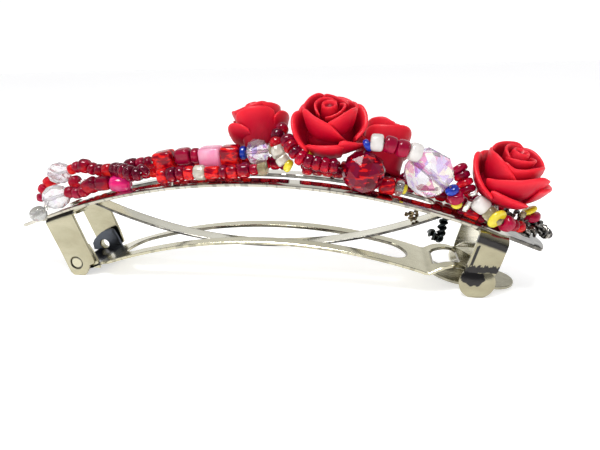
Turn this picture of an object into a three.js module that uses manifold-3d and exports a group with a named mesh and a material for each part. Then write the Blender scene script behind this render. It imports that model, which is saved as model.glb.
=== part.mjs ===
// French barrette with four carved roses and strands of beads wired to its slotted top plate.
// Millimetres, +X along the clip, +Y to its back, +Z up. While it is modelled, x = y = z = 0 is the
// top of the plate's arc; the last lines move the origin to the bottom centre of the closed clip.
import * as THREE from 'three';
import { mergeVertices } from 'three/addons/utils/BufferGeometryUtils.js';
import Module from 'manifold-3d';

const wasm = await Module();
wasm.setup();

// ---------------------------------------------------------------- driving dimensions
const CHORD = 80;              // nominal length of the plate's arc, tip to tip
const SAGITTA = 9.1;           // rise of the arc over that chord
const PLATE_WIDTH = 9;
const PLATE_SHEET = 0.5;
const SLOT = { from: -24, to: 25, width: 2.8 };
const TONGUE = { from: 33, tip: 39.6, halfWidth: 3.7, holeX: 37.2, holeR: 0.8 };
const LEFT_TONGUE = { tip: 38.2, corner: 2.4, halfWidth: 3.4, holeX: -36.2 };
const SHEET = 0.45;            // bracket, arm and latch
const SEAT_GAP = 0.12;         // between sheets that lie on each other
const STAND_Z = -15.2;         // lowest point: ear bottoms and latch lobes

const PIVOT = { x: -28.05, z: -13.1, holeR: 1.0, bossR: 0.68 };
const BRACKET = { from: -31.9, to: -27.2, halfWidth: 4.6 };
const ARM = { from: -29.2, to: 24.7, leftZ: -14.55, rightZ: -12.4, endX: 25.6, rise: 5.0, halfWidth: 4.6 };
const ARM_NECK = { halfWidth: 3.75, until: -24.4 };
const ARM_SLOT = { from: -21.6, to: 21.7, halfWidth: 2.7 };
const BOW = { from: -25.6, to: 26.6, dip: 5.7, halfWidth: 1.3, sheet: 0.35 };
const LATCH = { from: 30.3, to: 34.0, webHalfWidth: 3.15 };
const LOBE = { x: 30.7, radius: 2.15 };
const RIVET = { shaftR: 0.55, holeR: 0.85, headR: 1.15, headHeight: 0.35 };
const BRACKET_RIVET_X = -29.5;
const LATCH_RIVET_X = 31.9;

const ARC_RADIUS = (CHORD * CHORD / 4 + SAGITTA * SAGITTA) / (2 * SAGITTA);

// ---------------------------------------------------------------- finishes
const finish = (color, roughness, metalness) => new THREE.MeshStandardMaterial({ color, roughness, metalness });
const NICKEL = finish(0xc9c4a4, 0.22, 1);
const WIRE = finish(0x8c8880, 0.35, 1);
const ROSE = finish(0xe0242f, 0.42, 0);
const CLEAR = finish(0xe6e4ea, 0.08, 0);
const AURORA = finish(0xd9c8e6, 0.08, 0);
const RED = finish(0xc4121e, 0.12, 0);
const DARK_RED = finish(0x5e0716, 0.12, 0);
const CRIMSON = finish(0x9a1330, 0.2, 0);
const PINK = finish(0xf07a9c, 0.15, 0);
const BLUE = finish(0x0a2bb0, 0.2, 0);
const WHITE = finish(0xeeeae6, 0.25, 0);
const TOPAZ = finish(0xb09a90, 0.12, 0);

const clip = new THREE.Group();

function addNode(name, geometry, material) {
  const mesh = new THREE.Mesh(geometry, material);
  mesh.name = name;
  clip.add(mesh);
}

// ---------------------------------------------------------------- booleans
function toSolid(geometry) {
  const bare = geometry.clone();
  bare.deleteAttribute('normal');
  bare.deleteAttribute('uv');
  const merged = mergeVertices(bare, 1e-4);
  return new wasm.Manifold(new wasm.Mesh({
    numProp: 3,
    vertProperties: new Float32Array(merged.attributes.position.array),
    triVerts: new Uint32Array(merged.index.array),
  }));
}

function toGeometry(solid) {
  const mesh = solid.getMesh();
  const geometry = new THREE.BufferGeometry();
  geometry.setAttribute('position', new THREE.BufferAttribute(mesh.vertProperties, 3));
  geometry.setIndex(new THREE.BufferAttribute(mesh.triVerts, 1));
  geometry.computeVertexNormals();
  return geometry;
}

// ---------------------------------------------------------------- prisms along each axis
function shapeOf(points) {
  return new THREE.Shape(points.map(([u, v]) => new THREE.Vector2(u, v)));
}

// an outline in x and z, extruded across the clip from y0 to y1
function acrossPrism(shape, y0, y1) {
  const geometry = new THREE.ExtrudeGeometry(shape, { depth: y1 - y0, bevelEnabled: false, curveSegments: 5 });
  geometry.rotateX(Math.PI / 2);
  geometry.translate(0, y1, 0);
  return toSolid(geometry);
}

// an outline in x and y, extruded upwards from z0 to z1
function plumbPrism(shape, z0, z1) {
  const geometry = new THREE.ExtrudeGeometry(shape, { depth: z1 - z0, bevelEnabled: false, curveSegments: 5 });
  geometry.translate(0, 0, z0);
  return toSolid(geometry);
}

// an outline in y and z, extruded along the clip from x0 to x1
function alongPrism(shape, x0, x1) {
  const geometry = new THREE.ExtrudeGeometry(shape, { depth: x1 - x0, bevelEnabled: false });
  geometry.rotateZ(Math.PI / 2);
  geometry.rotateY(Math.PI / 2);
  geometry.translate(x0, 0, 0);
  return toSolid(geometry);
}

// a bent sheet: its upper side follows heightAt(x), its thickness is measured downwards
function bentSheet(heightAt, x0, x1, steps, sheet, halfWidth) {
  const upper = [];
  const lower = [];
  for (let i = 0; i <= steps; i += 1) {
    const x = x0 + (x1 - x0) * i / steps;
    upper.push([x, heightAt(x)]);
    lower.unshift([x, heightAt(x) - sheet]);
  }
  return acrossPrism(shapeOf([...upper, ...lower]), -halfWidth, halfWidth);
}

function roundedSlot(x0, x1, halfWidth) {
  const hole = new THREE.Shape();
  hole.moveTo(x0 + halfWidth, -halfWidth);
  hole.lineTo(x1 - halfWidth, -halfWidth);
  hole.absarc(x1 - halfWidth, 0, halfWidth, -Math.PI / 2, Math.PI / 2, false);
  hole.lineTo(x0 + halfWidth, halfWidth);
  hole.absarc(x0 + halfWidth, 0, halfWidth, Math.PI / 2, Math.PI * 1.5, false);
  return plumbPrism(hole, -30, 5);
}

function plumbHole(x, radius) {
  const geometry = new THREE.CylinderGeometry(radius, radius, 40, 10);
  geometry.rotateX(Math.PI / 2);
  geometry.translate(x, 0, -12);
  return toSolid(geometry);
}

// ---------------------------------------------------------------- curves of the sheets
function arcZ(x) {
  return Math.sqrt(ARC_RADIUS * ARC_RADIUS - x * x) - ARC_RADIUS;
}

// upper side of the plate: an arc whose end tongues run on straight
function plateZ(x) {
  const reach = Math.abs(x);
  if (reach <= TONGUE.from) {
    return arcZ(x);
  }
  const slope = TONGUE.from / Math.sqrt(ARC_RADIUS ** 2 - TONGUE.from ** 2);
  return arcZ(TONGUE.from) - slope * (reach - TONGUE.from);
}

function underPlate(x) {
  return plateZ(x) - PLATE_SHEET - SEAT_GAP;
}

function armZ(x) {
  const t = (x - PIVOT.x) / (ARM.endX - PIVOT.x);
  if (t < 0.03) {
    return ARM.leftZ + 4 * ARM.rise * 0.03 * 0.97;
  }
  return ARM.leftZ + (ARM.rightZ - ARM.leftZ) * t + 4 * ARM.rise * t * (1 - t);
}

function bowZ(x) {
  const t = (x - BOW.from) / (BOW.to - BOW.from);
  const chord = underPlate(BOW.from) + (underPlate(BOW.to) - underPlate(BOW.from)) * t;
  return chord - 4 * BOW.dip * t * (1 - t);
}

// ---------------------------------------------------------------- sheet-metal pieces
function topPlate() {
  const half = PLATE_WIDTH / 2;
  const outline = new THREE.Shape();
  // the right tongue ends blunt, the left one is shorter and rounder
  const blunt = [[-1.7, 3.7], [-1.1, 3.62], [-0.8, 3.3], [-0.35, 2.1], [-0.08, 1.0]];
  outline.moveTo(-TONGUE.from, -half);
  outline.lineTo(TONGUE.from, -half);
  outline.lineTo(TONGUE.from + 1.6, -TONGUE.halfWidth);
  blunt.forEach(([x, y]) => outline.lineTo(TONGUE.tip + x, -y));
  outline.lineTo(TONGUE.tip, 0);
  blunt.reverse().forEach(([x, y]) => outline.lineTo(TONGUE.tip + x, y));
  outline.lineTo(TONGUE.from + 1.6, TONGUE.halfWidth);
  outline.lineTo(TONGUE.from, half);
  outline.lineTo(-TONGUE.from, half);
  outline.lineTo(-TONGUE.from - 1.6, TONGUE.halfWidth);
  const quarter = LEFT_TONGUE.tip - LEFT_TONGUE.corner;
  const inset = LEFT_TONGUE.halfWidth - LEFT_TONGUE.corner;
  outline.absarc(-quarter, inset, LEFT_TONGUE.corner, Math.PI / 2, Math.PI, false);
  outline.absarc(-quarter, -inset, LEFT_TONGUE.corner, Math.PI, Math.PI * 1.5, false);
  outline.lineTo(-TONGUE.from - 1.6, -TONGUE.halfWidth);
  let plate = bentSheet(plateZ, -TONGUE.tip - 1, TONGUE.tip + 1, 30, PLATE_SHEET, half)
    .intersect(plumbPrism(outline, -20, 5))
    .subtract(roundedSlot(SLOT.from, SLOT.to, SLOT.width / 2));
  for (const x of [LEFT_TONGUE.holeX, TONGUE.holeX]) {
    plate = plate.subtract(plumbHole(x, TONGUE.holeR));
  }
  for (const x of [BRACKET_RIVET_X, LATCH_RIVET_X]) {
    plate = plate.subtract(plumbHole(x, RIVET.holeR));
  }
  return plate;
}

function pivotCylinder(radius, y0, y1) {
  const geometry = new THREE.CylinderGeometry(radius, radius, y1 - y0, 12);
  geometry.translate(PIVOT.x, (y0 + y1) / 2, PIVOT.z);
  return toSolid(geometry);
}

function hingeBracket() {
  const web = bentSheet(underPlate, BRACKET.from, BRACKET.to, 3, SHEET, BRACKET.halfWidth)
    .subtract(plumbHole(BRACKET_RIVET_X, RIVET.holeR));
  const ear = shapeOf([
    [BRACKET.from, underPlate(BRACKET.from)],
    [-30.2, -11.9], [-29.65, -13.8], [-29.3, -14.75], [-28.85, STAND_Z], [-27.1, STAND_Z], [-26.75, -14.95],
    [-26.2, -14.1], [-26.0, -13.5], [-25.15, -13.05], [-25.05, -12.75], [-25.45, -10.9],
    [BRACKET.to, underPlate(BRACKET.to)],
  ]);
  let bracket = web;
  for (const side of [-1, 1]) {
    const inner = side * (BRACKET.halfWidth - SHEET);
    const outer = side * BRACKET.halfWidth;
    bracket = bracket.add(acrossPrism(ear, Math.min(inner, outer), Math.max(inner, outer)));
  }
  return bracket.subtract(pivotCylinder(PIVOT.holeR, -6, 6));
}

// ear of the arm: a lug about the pivot, with a hollow boss pressed out through the bracket; the rear one is open
function armEar(side) {
  const lug = shapeOf([
    [-30.2, -14.2], [-30.3, -13.1], [-29.9, -12.4], [-29.2, -11.7], [-28.4, -11.05], [-27.4, -10.55],
    [-26.6, -10.25], [-26.1, -10.4], [-25.5, -11.7], [-25.0, -13.2], [-24.8, -14.2],
  ]);
  const outer = ARM_NECK.halfWidth;
  const inner = outer - SHEET;
  const sheet = side < 0 ? acrossPrism(lug, -outer, -inner) : acrossPrism(lug, inner, outer);
  const tip = BRACKET.halfWidth - 0.1;
  const boss = side < 0
    ? pivotCylinder(PIVOT.bossR, -tip, -inner)
    : pivotCylinder(PIVOT.bossR, inner, tip);
  const wall = 0.25;
  const dent = side < 0
    ? pivotCylinder(PIVOT.bossR - wall, -tip + 0.3, -inner + 1)
    : pivotCylinder(PIVOT.bossR - wall, inner - 1, tip + 1);
  return sheet.add(boss).subtract(dent);
}

// the end of the arm: two side rails arch up and meet in a cross bar that the latch holds
function ringZ(x) {
  const t = (x - 24) / 7.4;
  return -12.15 + (-12.6 + 12.15) * t + 1.35 * Math.sin(Math.PI * t);
}

// the finger tongue: pressed down out of the ring's window, under the cross bar, to the tab
function tongueZ(x) {
  const t = Math.min((x - 24.4) / 5.6, 1);
  return -12.3 - 1.95 * t * (2 - t) - 0.03 * Math.max(x - 30, 0);
}

function claspArm() {
  const neck = ARM_NECK.halfWidth;
  const half = ARM.halfWidth;
  const plan = shapeOf([
    [ARM.from, -neck], [ARM_NECK.until, -neck], [ARM_NECK.until + 1.4, -half],
    [ARM.to, -half], [ARM.to, half], [ARM_NECK.until + 1.4, half], [ARM_NECK.until, neck], [ARM.from, neck],
  ]);
  const body = bentSheet(armZ, ARM.from, ARM.to, 22, SHEET, half)
    .intersect(plumbPrism(plan, -20, 0))
    .subtract(roundedSlot(ARM_SLOT.from, ARM_SLOT.to, ARM_SLOT.halfWidth));
  const ringPlan = shapeOf([
    [24.2, -half], [25.6, -half], [28.6, -3.55], [30.8, -3.4], [31.4, -2.8],
    [31.4, 2.8], [30.8, 3.4], [28.6, 3.55], [25.6, half], [24.2, half],
  ]);
  const windowPlan = shapeOf([
    [25.2, -2.6], [28.3, -2.6], [28.9, -2.0], [28.9, 2.0], [28.3, 2.6], [25.2, 2.6],
  ]);
  const ring = bentSheet(ringZ, 24, 31.4, 8, SHEET, half)
    .intersect(plumbPrism(ringPlan, -20, 0))
    .subtract(plumbPrism(windowPlan, -20, 0));
  const tonguePlan = new THREE.Shape();
  tonguePlan.moveTo(24.4, -2.4);
  tonguePlan.lineTo(30.5, -2.4);
  tonguePlan.lineTo(32.4, -3.0);
  tonguePlan.absarc(33.6, 0, 3.0, -Math.PI / 2, Math.PI / 2, false);
  tonguePlan.lineTo(32.4, 3.0);
  tonguePlan.lineTo(30.5, 2.4);
  tonguePlan.lineTo(24.4, 2.4);
  const tongue = bentSheet(tongueZ, 24.4, 37, 9, SHEET, 3.2).intersect(plumbPrism(tonguePlan, -20, 0));
  return body.add(ring).add(tongue).add(armEar(-1)).add(armEar(1));
}

function tensionBow() {
  return bentSheet(bowZ, BOW.from, BOW.to, 24, BOW.sheet, BOW.halfWidth);
}

// seat of the latch: the flat web of the U, under the plate
function latchWeb() {
  return bentSheet(underPlate, LATCH.from, LATCH.to, 3, SHEET, LATCH.webHalfWidth)
    .subtract(plumbHole(LATCH_RIVET_X, RIVET.holeR));
}

// one springy leg of the latch: down from the web, in under the arm's cross bar, out into a lobe
function latchLeg(side) {
  const path = [
    [3.75, -6.9], [4.3, -7.15], [4.6, -7.7], [4.6, -9.8], [4.28, -11.6], [4.6, -12.4], [4.9, -13.3], [4.75, -14.3],
    [4.4, STAND_Z],
  ];
  const outer = path.map(([y, z]) => [side * y, z]);
  const inner = path.map(([y, z]) => [side * (y - SHEET), z]).reverse();
  const front = new THREE.Shape();
  front.moveTo(30.3, -6.0);
  front.lineTo(29.1, -11.7);
  front.absarc(LOBE.x, STAND_Z + LOBE.radius, LOBE.radius, Math.PI * 0.9, Math.PI * 2.1, false);
  front.lineTo(32.8, -11.3);
  front.lineTo(34.0, -6.0);
  return alongPrism(shapeOf([...outer, ...inner]), 27, 36).intersect(acrossPrism(front, -6, 6));
}

// a rivet: domed upper head, shaft, flat lower head, square to the plate
function rivet(x, lowerHead) {
  const { shaftR, headR, headHeight } = RIVET;
  const profile = [[0, headHeight], [headR * 0.7, headHeight * 0.8], [headR, 0.12], [shaftR, 0.12],
    [shaftR, lowerHead], [headR, lowerHead], [headR, lowerHead - headHeight], [0, lowerHead - headHeight]];
  const geometry = new THREE.LatheGeometry(profile.reverse().map(([r, z]) => new THREE.Vector2(r, z)), 10);
  geometry.rotateX(Math.PI / 2);
  geometry.rotateY(Math.asin(x / ARC_RADIUS));
  geometry.translate(x, 0, plateZ(x));
  return geometry;
}

addNode('top_plate', toGeometry(topPlate()), NICKEL);
addNode('hinge_bracket', toGeometry(hingeBracket()), NICKEL);
addNode('clasp_arm', toGeometry(claspArm()), NICKEL);
addNode('tension_bow', toGeometry(tensionBow()), NICKEL);
addNode('latch_web', toGeometry(latchWeb()), NICKEL);
addNode('latch_leg_front', toGeometry(latchLeg(-1)), NICKEL);
addNode('latch_leg_rear', toGeometry(latchLeg(1)), NICKEL);
const lowerHeadZ = -PLATE_SHEET - 2 * SEAT_GAP - SHEET - 0.05;
addNode('bracket_rivet', rivet(BRACKET_RIVET_X, lowerHeadZ), NICKEL);
addNode('latch_rivet', rivet(LATCH_RIVET_X, lowerHeadZ), NICKEL);

// ---------------------------------------------------------------- roses
// tiers of petals, as radius and height shares from the underside to the bud's mouth
const ROSE_TIERS = [[0, 0], [0.4, 0], [0.78, 0.14], [1, 0.4], [0.97, 0.52], [0.8, 0.6],
  [0.74, 0.8], [0.52, 0.84], [0.42, 1], [0.2, 1], [0.12, 0.9], [0, 0.88]];
const PETALS = 5;

function rose(centre, axis, radius, height) {
  const profile = ROSE_TIERS.map(([r, h]) => new THREE.Vector2(r * radius, (h - 0.5) * height));
  const geometry = new THREE.LatheGeometry(profile, 20);
  const position = geometry.attributes.position;
  const point = new THREE.Vector3();
  for (let i = 0; i < position.count; i += 1) {
    point.fromBufferAttribute(position, i);
    const angle = Math.atan2(point.z, point.x);
    const tier = Math.floor((point.y / height + 0.5) * 3);
    const scallop = 1 - 0.05 * (1 - Math.cos(PETALS * angle + tier * Math.PI));
    position.setXYZ(i, point.x * scallop, point.y, point.z * scallop);
  }
  const up = new THREE.Vector3(0, 1, 0);
  geometry.applyQuaternion(new THREE.Quaternion().setFromUnitVectors(up, new THREE.Vector3(...axis).normalize()));
  geometry.translate(...centre);
  return geometry;
}

addNode('rose_left', rose([-0.4, 3.8, 6.7], [-0.35, 0.3, 0.9], 4.8, 6.0), ROSE);
addNode('rose_centre', rose([10.7, -1, 7.3], [0, -0.45, 0.9], 5.2, 7.0), ROSE);
addNode('rose_behind', rose([17.5, 4.1, 4.2], [0.25, 0.3, 0.9], 4.4, 6.0), ROSE);
addNode('rose_right', rose([33.9, -1, 0.75], [0.3, -0.35, 0.88], 4.95, 6.4), ROSE);

// ---------------------------------------------------------------- single beads
function placed(geometry, centre, along) {
  const up = new THREE.Vector3(0, 1, 0);
  geometry.applyQuaternion(new THREE.Quaternion().setFromUnitVectors(up, new THREE.Vector3(...along).normalize()));
  geometry.translate(...centre);
  return geometry;
}

function faceted(centre, along, radius, length) {
  const half = length / 2;
  const profile = [[0, -half], [radius * 0.45, -half], [radius * 0.88, -half * 0.5], [radius, 0],
    [radius * 0.88, half * 0.5], [radius * 0.45, half], [0, half]];
  return placed(new THREE.LatheGeometry(profile.map(([r, h]) => new THREE.Vector2(r, h)), 8), centre, along);
}

function cube(centre, along, size, length) {
  return placed(new THREE.BoxGeometry(size, length, size), centre, along);
}

function barrel(centre, along, radius, length) {
  return placed(new THREE.CylinderGeometry(radius, radius, length, 8), centre, along);
}

addNode('crystal_end_upper', faceted([-30.6, -1.0, 0.1], [1, 0, 0.2], 1.65, 3.2), CLEAR);
addNode('crystal_end_lower', faceted([-30.4, -3.0, -3.1], [1, 0, 0.3], 1.85, 3.6), CLEAR);
addNode('tongue_bead_left', faceted([-32.0, -5.45, -4.97], [0.9, 0, 0.4], 1.1, 2.2), CLEAR);
addNode('bead_red_left', barrel([-27.9, -1.5, -1.05], [1, 0, 0.2], 0.95, 1.6), RED);
addNode('cube_red_left', cube([-13.4, -0.7, 2.2], [1, 0, 0.1], 2.8, 2.9), RED);
addNode('cube_crimson', cube([-10.5, -0.7, 2.85], [1, 0, 0.1], 2.3, 2.2), CRIMSON);
addNode('seed_crimson', barrel([-8.65, -0.7, 2.95], [1, 0, 0.05], 1.1, 1.1), CRIMSON);
addNode('cube_pink', cube([-6.4, -0.7, 2.8], [1, 0, 0.05], 2.8, 3.0), PINK);
addNode('cube_red_right', cube([-3.4, -0.7, 3.0], [1, 0, 0.1], 2.9, 2.6), RED);
addNode('seed_blue', barrel([-1.6, -0.7, 3.4], [1, 0, 0.1], 0.95, 0.8), BLUE);
addNode('crystal_aurora_small', faceted([0.5, -0.7, 3.55], [1, 0, 0.1], 1.85, 3.0), AURORA);
addNode('bead_topaz', barrel([2.55, -0.5, 3.9], [1, -0.1, 0.1], 0.8, 0.9), TOPAZ);
addNode('bead_faceted_red', faceted([15.4, -3.7, 1.5], [1, 0, -0.3], 2.6, 5.0), RED);
addNode('crystal_aurora_large', faceted([23.8, -1.5, 1.1], [0.75, -0.25, -0.6], 3.15, 6.0), AURORA);
addNode('wrap_bead_right', faceted([38.0, -0.6, -6.35], [1, 0, -0.35], 0.85, 1.6), CLEAR);

// ---------------------------------------------------------------- bead strands
// One closed solid a strand: a cylinder whose rings follow the route and swell at every bead.
const STRAND_SIDES = 6;
const BEAD_RINGS = [[0, 0.62], [0.28, 1], [0.72, 1]];

function strand(route, beads) {
  const curve = new THREE.CatmullRomCurve3(route.map((p) => new THREE.Vector3(...p)));
  const rings = beads.length * BEAD_RINGS.length;
  const total = beads.reduce((sum, [length]) => sum + length, 0);
  const stations = [];
  let start = 0;
  for (const [length, radius] of beads) {
    for (const [share, swell] of BEAD_RINGS) {
      stations.push({ u: (start + share * length) / total, r: radius * swell });
    }
    start += length;
  }
  stations.push({ u: 1, r: beads[beads.length - 1][1] * BEAD_RINGS[0][1] });
  const geometry = new THREE.CylinderGeometry(1, 1, 1, STRAND_SIDES, rings);
  const position = geometry.attributes.position;
  const across = new THREE.Vector3(0, 1, 0);
  for (let i = 0; i < position.count; i += 1) {
    const { u, r } = stations[Math.round((0.5 - position.getY(i)) * rings)];
    const tangent = curve.getTangentAt(u);
    const side = new THREE.Vector3().crossVectors(across, tangent).normalize();
    const third = new THREE.Vector3().crossVectors(tangent, side);
    const centre = curve.getPointAt(u);
    const offsetX = position.getX(i) * r;
    const offsetZ = position.getZ(i) * r;
    centre.addScaledVector(side, offsetX).addScaledVector(third, offsetZ);
    position.setXYZ(i, centre.x, centre.y, centre.z);
  }
  return geometry;
}

function alike(count, length, radius) {
  return Array.from({ length: count }, () => [length, radius]);
}

// a route that lies on the plate at a height above it
function alongPlate(x0, x1, y, height) {
  const steps = Math.max(2, Math.round(Math.abs(x1 - x0) / 4));
  return Array.from({ length: steps + 1 }, (_, i) => {
    const x = x0 + (x1 - x0) * i / steps;
    return [x, y, plateZ(x) + height];
  });
}

addNode('strand_left_top', strand([
  [-28.75, -1.2, 0.6], [-26.4, -1.1, 1.3], [-24.1, -1.2, 0.75], [-20.8, -1.6, 0.9], [-19.2, -2.6, 1.0],
  [-17.5, -3.4, 0.8], [-16.3, -3.4, 0.8], [-15.6, -2.6, 1.5],
], [[1.0, 0.85], [1.0, 0.95], [1.6, 1.15], ...alike(4, 1.4, 1.0), ...alike(4, 1.2, 1.1)]), RED);
addNode('strand_left_cross', strand(
  [[-20.3, 0.4, 0.7], [-18.2, 0.3, 1.3], [-15.9, 0.2, 1.7]], [[2.0, 1.25], [1.2, 1.0], [1.2, 1.0]]), DARK_RED);
addNode('strand_left_front', strand([
  [-28.4, -3.3, -2.1], [-26.9, -3.3, -2.3], [-25.5, -3.3, -2.0], [-24.2, -3.2, -1.0], [-22.2, -3.0, -0.8],
  [-19.9, -2.4, -1.0], [-18.5, -2.2, -0.95],
], [...alike(3, 1.1, 0.9), ...alike(2, 2.0, 1.15), [2.9, 1.15]]), CRIMSON);
addNode('strand_left_end', strand(
  [[-32.6, 1.0, -0.6], [-34.2, 0.4, -1.6], [-35.2, 0.0, -2.9], [-35.3, -0.3, -4.6]], alike(4, 1.25, 1.05)), RED);
addNode('strand_left_middle', strand(alongPlate(-31.5, -21.1, 0.5, 1.9), alike(8, 1.3, 0.9)), DARK_RED);
addNode('strand_left_rear', strand(alongPlate(-31.5, -15.2, 2.9, 1.4), alike(12, 1.35, 1.05)), RED);
addNode('strand_middle_front', strand(
  [[-13.7, -3.1, 0.4], [-8.8, -3.1, 0.95], [-3.7, -3.1, 1.15], [2.2, -3.1, 1.75]],
  [[1.3, 1.05], ...alike(2, 1.2, 1.05), ...alike(3, 1.6, 1.0), ...alike(3, 1.4, 1.0), ...alike(2, 1.25, 0.8)]), RED);
addNode('strand_middle_rear', strand(alongPlate(-14.2, 4.4, 2.4, 1.45), alike(13, 1.4, 1.05)), DARK_RED);
addNode('strand_rose_left', strand(
  [[4.3, 0.2, 6.8], [3.6, -0.9, 6.3], [3.5, -2.1, 4.95], [3.9, -2.8, 3.8], [4.7, -3.1, 2.6], [5.7, -3.2, 1.9]],
  alike(6, 1.2, 0.95)), RED);
addNode('strand_rose_centre', strand([
  [5.0, -2.6, 5.7], [5.6, -3.5, 4.8], [6.4, -4.2, 4.0], [7.4, -4.6, 3.1], [8.8, -4.7, 2.6], [10.4, -4.7, 2.3],
  [12.0, -4.5, 2.2],
], alike(8, 1.15, 0.92)), DARK_RED);
addNode('strand_rose_behind', strand(
  [[15.8, -3.4, 5.0], [16.7, -3.5, 5.4], [18.2, -3.4, 5.3], [19.9, -3.3, 4.7], [21.4, -3.2, 4.4]],
  [[0.8, 0.8], [1.7, 1.05], [1.7, 1.0], [1.7, 1.0], [1.6, 1.0]]), CRIMSON);
addNode('strand_crystal_left', strand(
  [[17.4, -2.0, -0.5], [19.3, -2.1, -0.75], [20.6, -2.2, -1.0]], [[2.0, 1.15], [1.0, 1.1]]), DARK_RED);
addNode('strand_crystal_right', strand(
  [[26.3, -4.2, -0.1], [27.1, -3.9, -1.6], [27.4, -3.4, -2.9]], [[1.0, 0.85], [1.5, 1.0], [0.9, 0.85]]), CRIMSON);
addNode('strand_right_reds', strand(
  [[27.5, -0.6, 2.2], [28.0, -1.2, 1.0], [28.4, -1.7, -0.2], [28.7, -2.1, -1.3]], alike(3, 1.2, 0.8)), RED);
addNode('strand_right_bugle', strand(
  [[27.8, -2.6, -3.4], [29.5, -2.8, -4.1], [31.2, -2.9, -4.7]], [[1.2, 0.6], [2.4, 0.55], [1.2, 0.6]]), DARK_RED);
addNode('strand_right_front', strand([
  [29.9, -3.5, -2.1], [31.5, -3.7, -3.2], [32.5, -3.9, -4.0], [33.6, -4.0, -4.65], [34.9, -3.6, -5.3],
  [36.6, -3.0, -5.8],
], [[2.1, 1.15], [1.5, 1.0], [0.9, 1.15], [1.5, 1.1], [1.2, 0.85], [1.2, 0.85]]), WHITE);
addNode('strand_right_end', strand(
  [[36.9, -0.9, -3.6], [37.4, -1.0, -4.5], [37.6, -1.0, -5.3]], [[0.9, 0.95], [1.2, 0.95]]), CRIMSON);
addNode('strand_right_middle', strand(alongPlate(6.5, 35.0, 1.0, 1.05), alike(20, 1.45, 0.8)), RED);
addNode('strand_right_rear', strand(alongPlate(6.0, 35.5, 3.05, 1.4), alike(21, 1.45, 1.0)), DARK_RED);

// ---------------------------------------------------------------- wires
function wire(route, radius, steps) {
  const section = new THREE.Shape();
  section.absarc(0, 0, radius, 0, Math.PI * 2, false);
  const extrudePath = new THREE.CatmullRomCurve3(route.map((p) => new THREE.Vector3(...p)));
  return new THREE.ExtrudeGeometry(section, { steps, extrudePath, curveSegments: 3, bevelEnabled: false });
}

addNode('wire_loop_upper', wire([[28.9, -3.4, -1.2], [29.3, -3.7, -1.0], [29.6, -3.7, -0.5]], 0.3, 4), WIRE);
addNode('wire_loop_lower', wire([[28.5, -3.6, -3.4], [28.6, -3.7, -2.8], [28.8, -3.6, -2.2]], 0.35, 4), WIRE);
addNode('wire_end_left', wire([[-26.6, -2.3, -1.0], [-26.0, -2.2, -0.8], [-25.0, -1.9, -0.6]], 0.3, 4), WIRE);
addNode('wire_loop_left', wire(
  [[-33.8, -2.3, -5.6], [-33.5, -2.3, -5.0], [-33.0, -2.3, -5.0], [-32.8, -2.3, -5.4]], 0.28, 8), WIRE);
addNode('wire_knot', wire([
  [22.4, -0.5, -4.3], [22.7, -0.2, -5.0], [22.6, 0.0, -5.7], [22.1, -0.3, -5.9], [21.8, -0.6, -5.4],
  [21.1, -0.6, -5.1],
], 0.3, 12), WIRE);
addNode('wire_tail', wire([
  [26.6, -2.0, -4.5], [26.2, -2.1, -5.3], [26.0, -2.3, -6.0], [25.9, -2.4, -6.8], [25.6, -2.4, -7.9],
  [24.9, -2.4, -7.3], [24.3, -2.4, -6.8],
], 0.4, 14), WIRE);
addNode('wire_wrap_right', wire([
  [36.5, -1.7, -6.6], [37.9, -2.0, -6.5], [39.4, -1.1, -6.9], [39.6, 0.0, -7.0], [38.4, 0.6, -6.0],
  [37.3, 0.4, -5.7],
], 0.45, 18), WIRE);

// ---------------------------------------------------------------- origin: bottom centre of the closed clip
const box = new THREE.Box3().setFromObject(clip);
clip.position.set(-(box.min.x + box.max.x) / 2, -(box.min.y + box.max.y) / 2, -box.min.z);

export default clip;
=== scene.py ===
"""Looks of the flower hair clip: sheet metal, wires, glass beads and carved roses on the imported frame.

Points are given in millimetres from the apex of the top plate's arc, +X along the clip, +Y to its
back, +Z up; to_row() moves them into the frame and into metres.
"""
import math
import random

import bmesh
import bpy
import numpy as np
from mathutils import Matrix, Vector
from mathutils.geometry import delaunay_2d_cdt


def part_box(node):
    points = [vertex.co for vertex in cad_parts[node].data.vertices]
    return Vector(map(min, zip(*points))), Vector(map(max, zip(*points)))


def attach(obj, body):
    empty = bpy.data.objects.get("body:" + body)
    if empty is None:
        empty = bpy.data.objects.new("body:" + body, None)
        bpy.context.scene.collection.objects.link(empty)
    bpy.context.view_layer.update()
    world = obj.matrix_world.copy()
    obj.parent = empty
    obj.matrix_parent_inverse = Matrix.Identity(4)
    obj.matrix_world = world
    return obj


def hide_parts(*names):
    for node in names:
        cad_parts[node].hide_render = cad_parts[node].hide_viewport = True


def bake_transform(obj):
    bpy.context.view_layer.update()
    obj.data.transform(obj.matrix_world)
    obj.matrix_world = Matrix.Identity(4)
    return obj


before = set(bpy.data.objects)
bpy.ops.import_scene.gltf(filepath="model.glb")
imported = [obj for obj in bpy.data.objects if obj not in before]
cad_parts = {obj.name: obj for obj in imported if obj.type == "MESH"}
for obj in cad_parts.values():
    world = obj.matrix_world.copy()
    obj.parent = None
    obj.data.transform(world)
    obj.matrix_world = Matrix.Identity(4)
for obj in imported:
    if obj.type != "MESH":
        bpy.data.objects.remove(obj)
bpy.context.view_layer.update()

MM = 0.001
plate_low, plate_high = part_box("top_plate")
PLATE_RIGHT = 39.6  # the plate's right end, measured from the apex, in mm
APEX = np.array([plate_high.x, (plate_low.y + plate_high.y) / 2, plate_high.z]) / MM - (PLATE_RIGHT, 0, 0)


def to_row(points):
    return (np.asarray(points, float) + APEX) * MM


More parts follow.
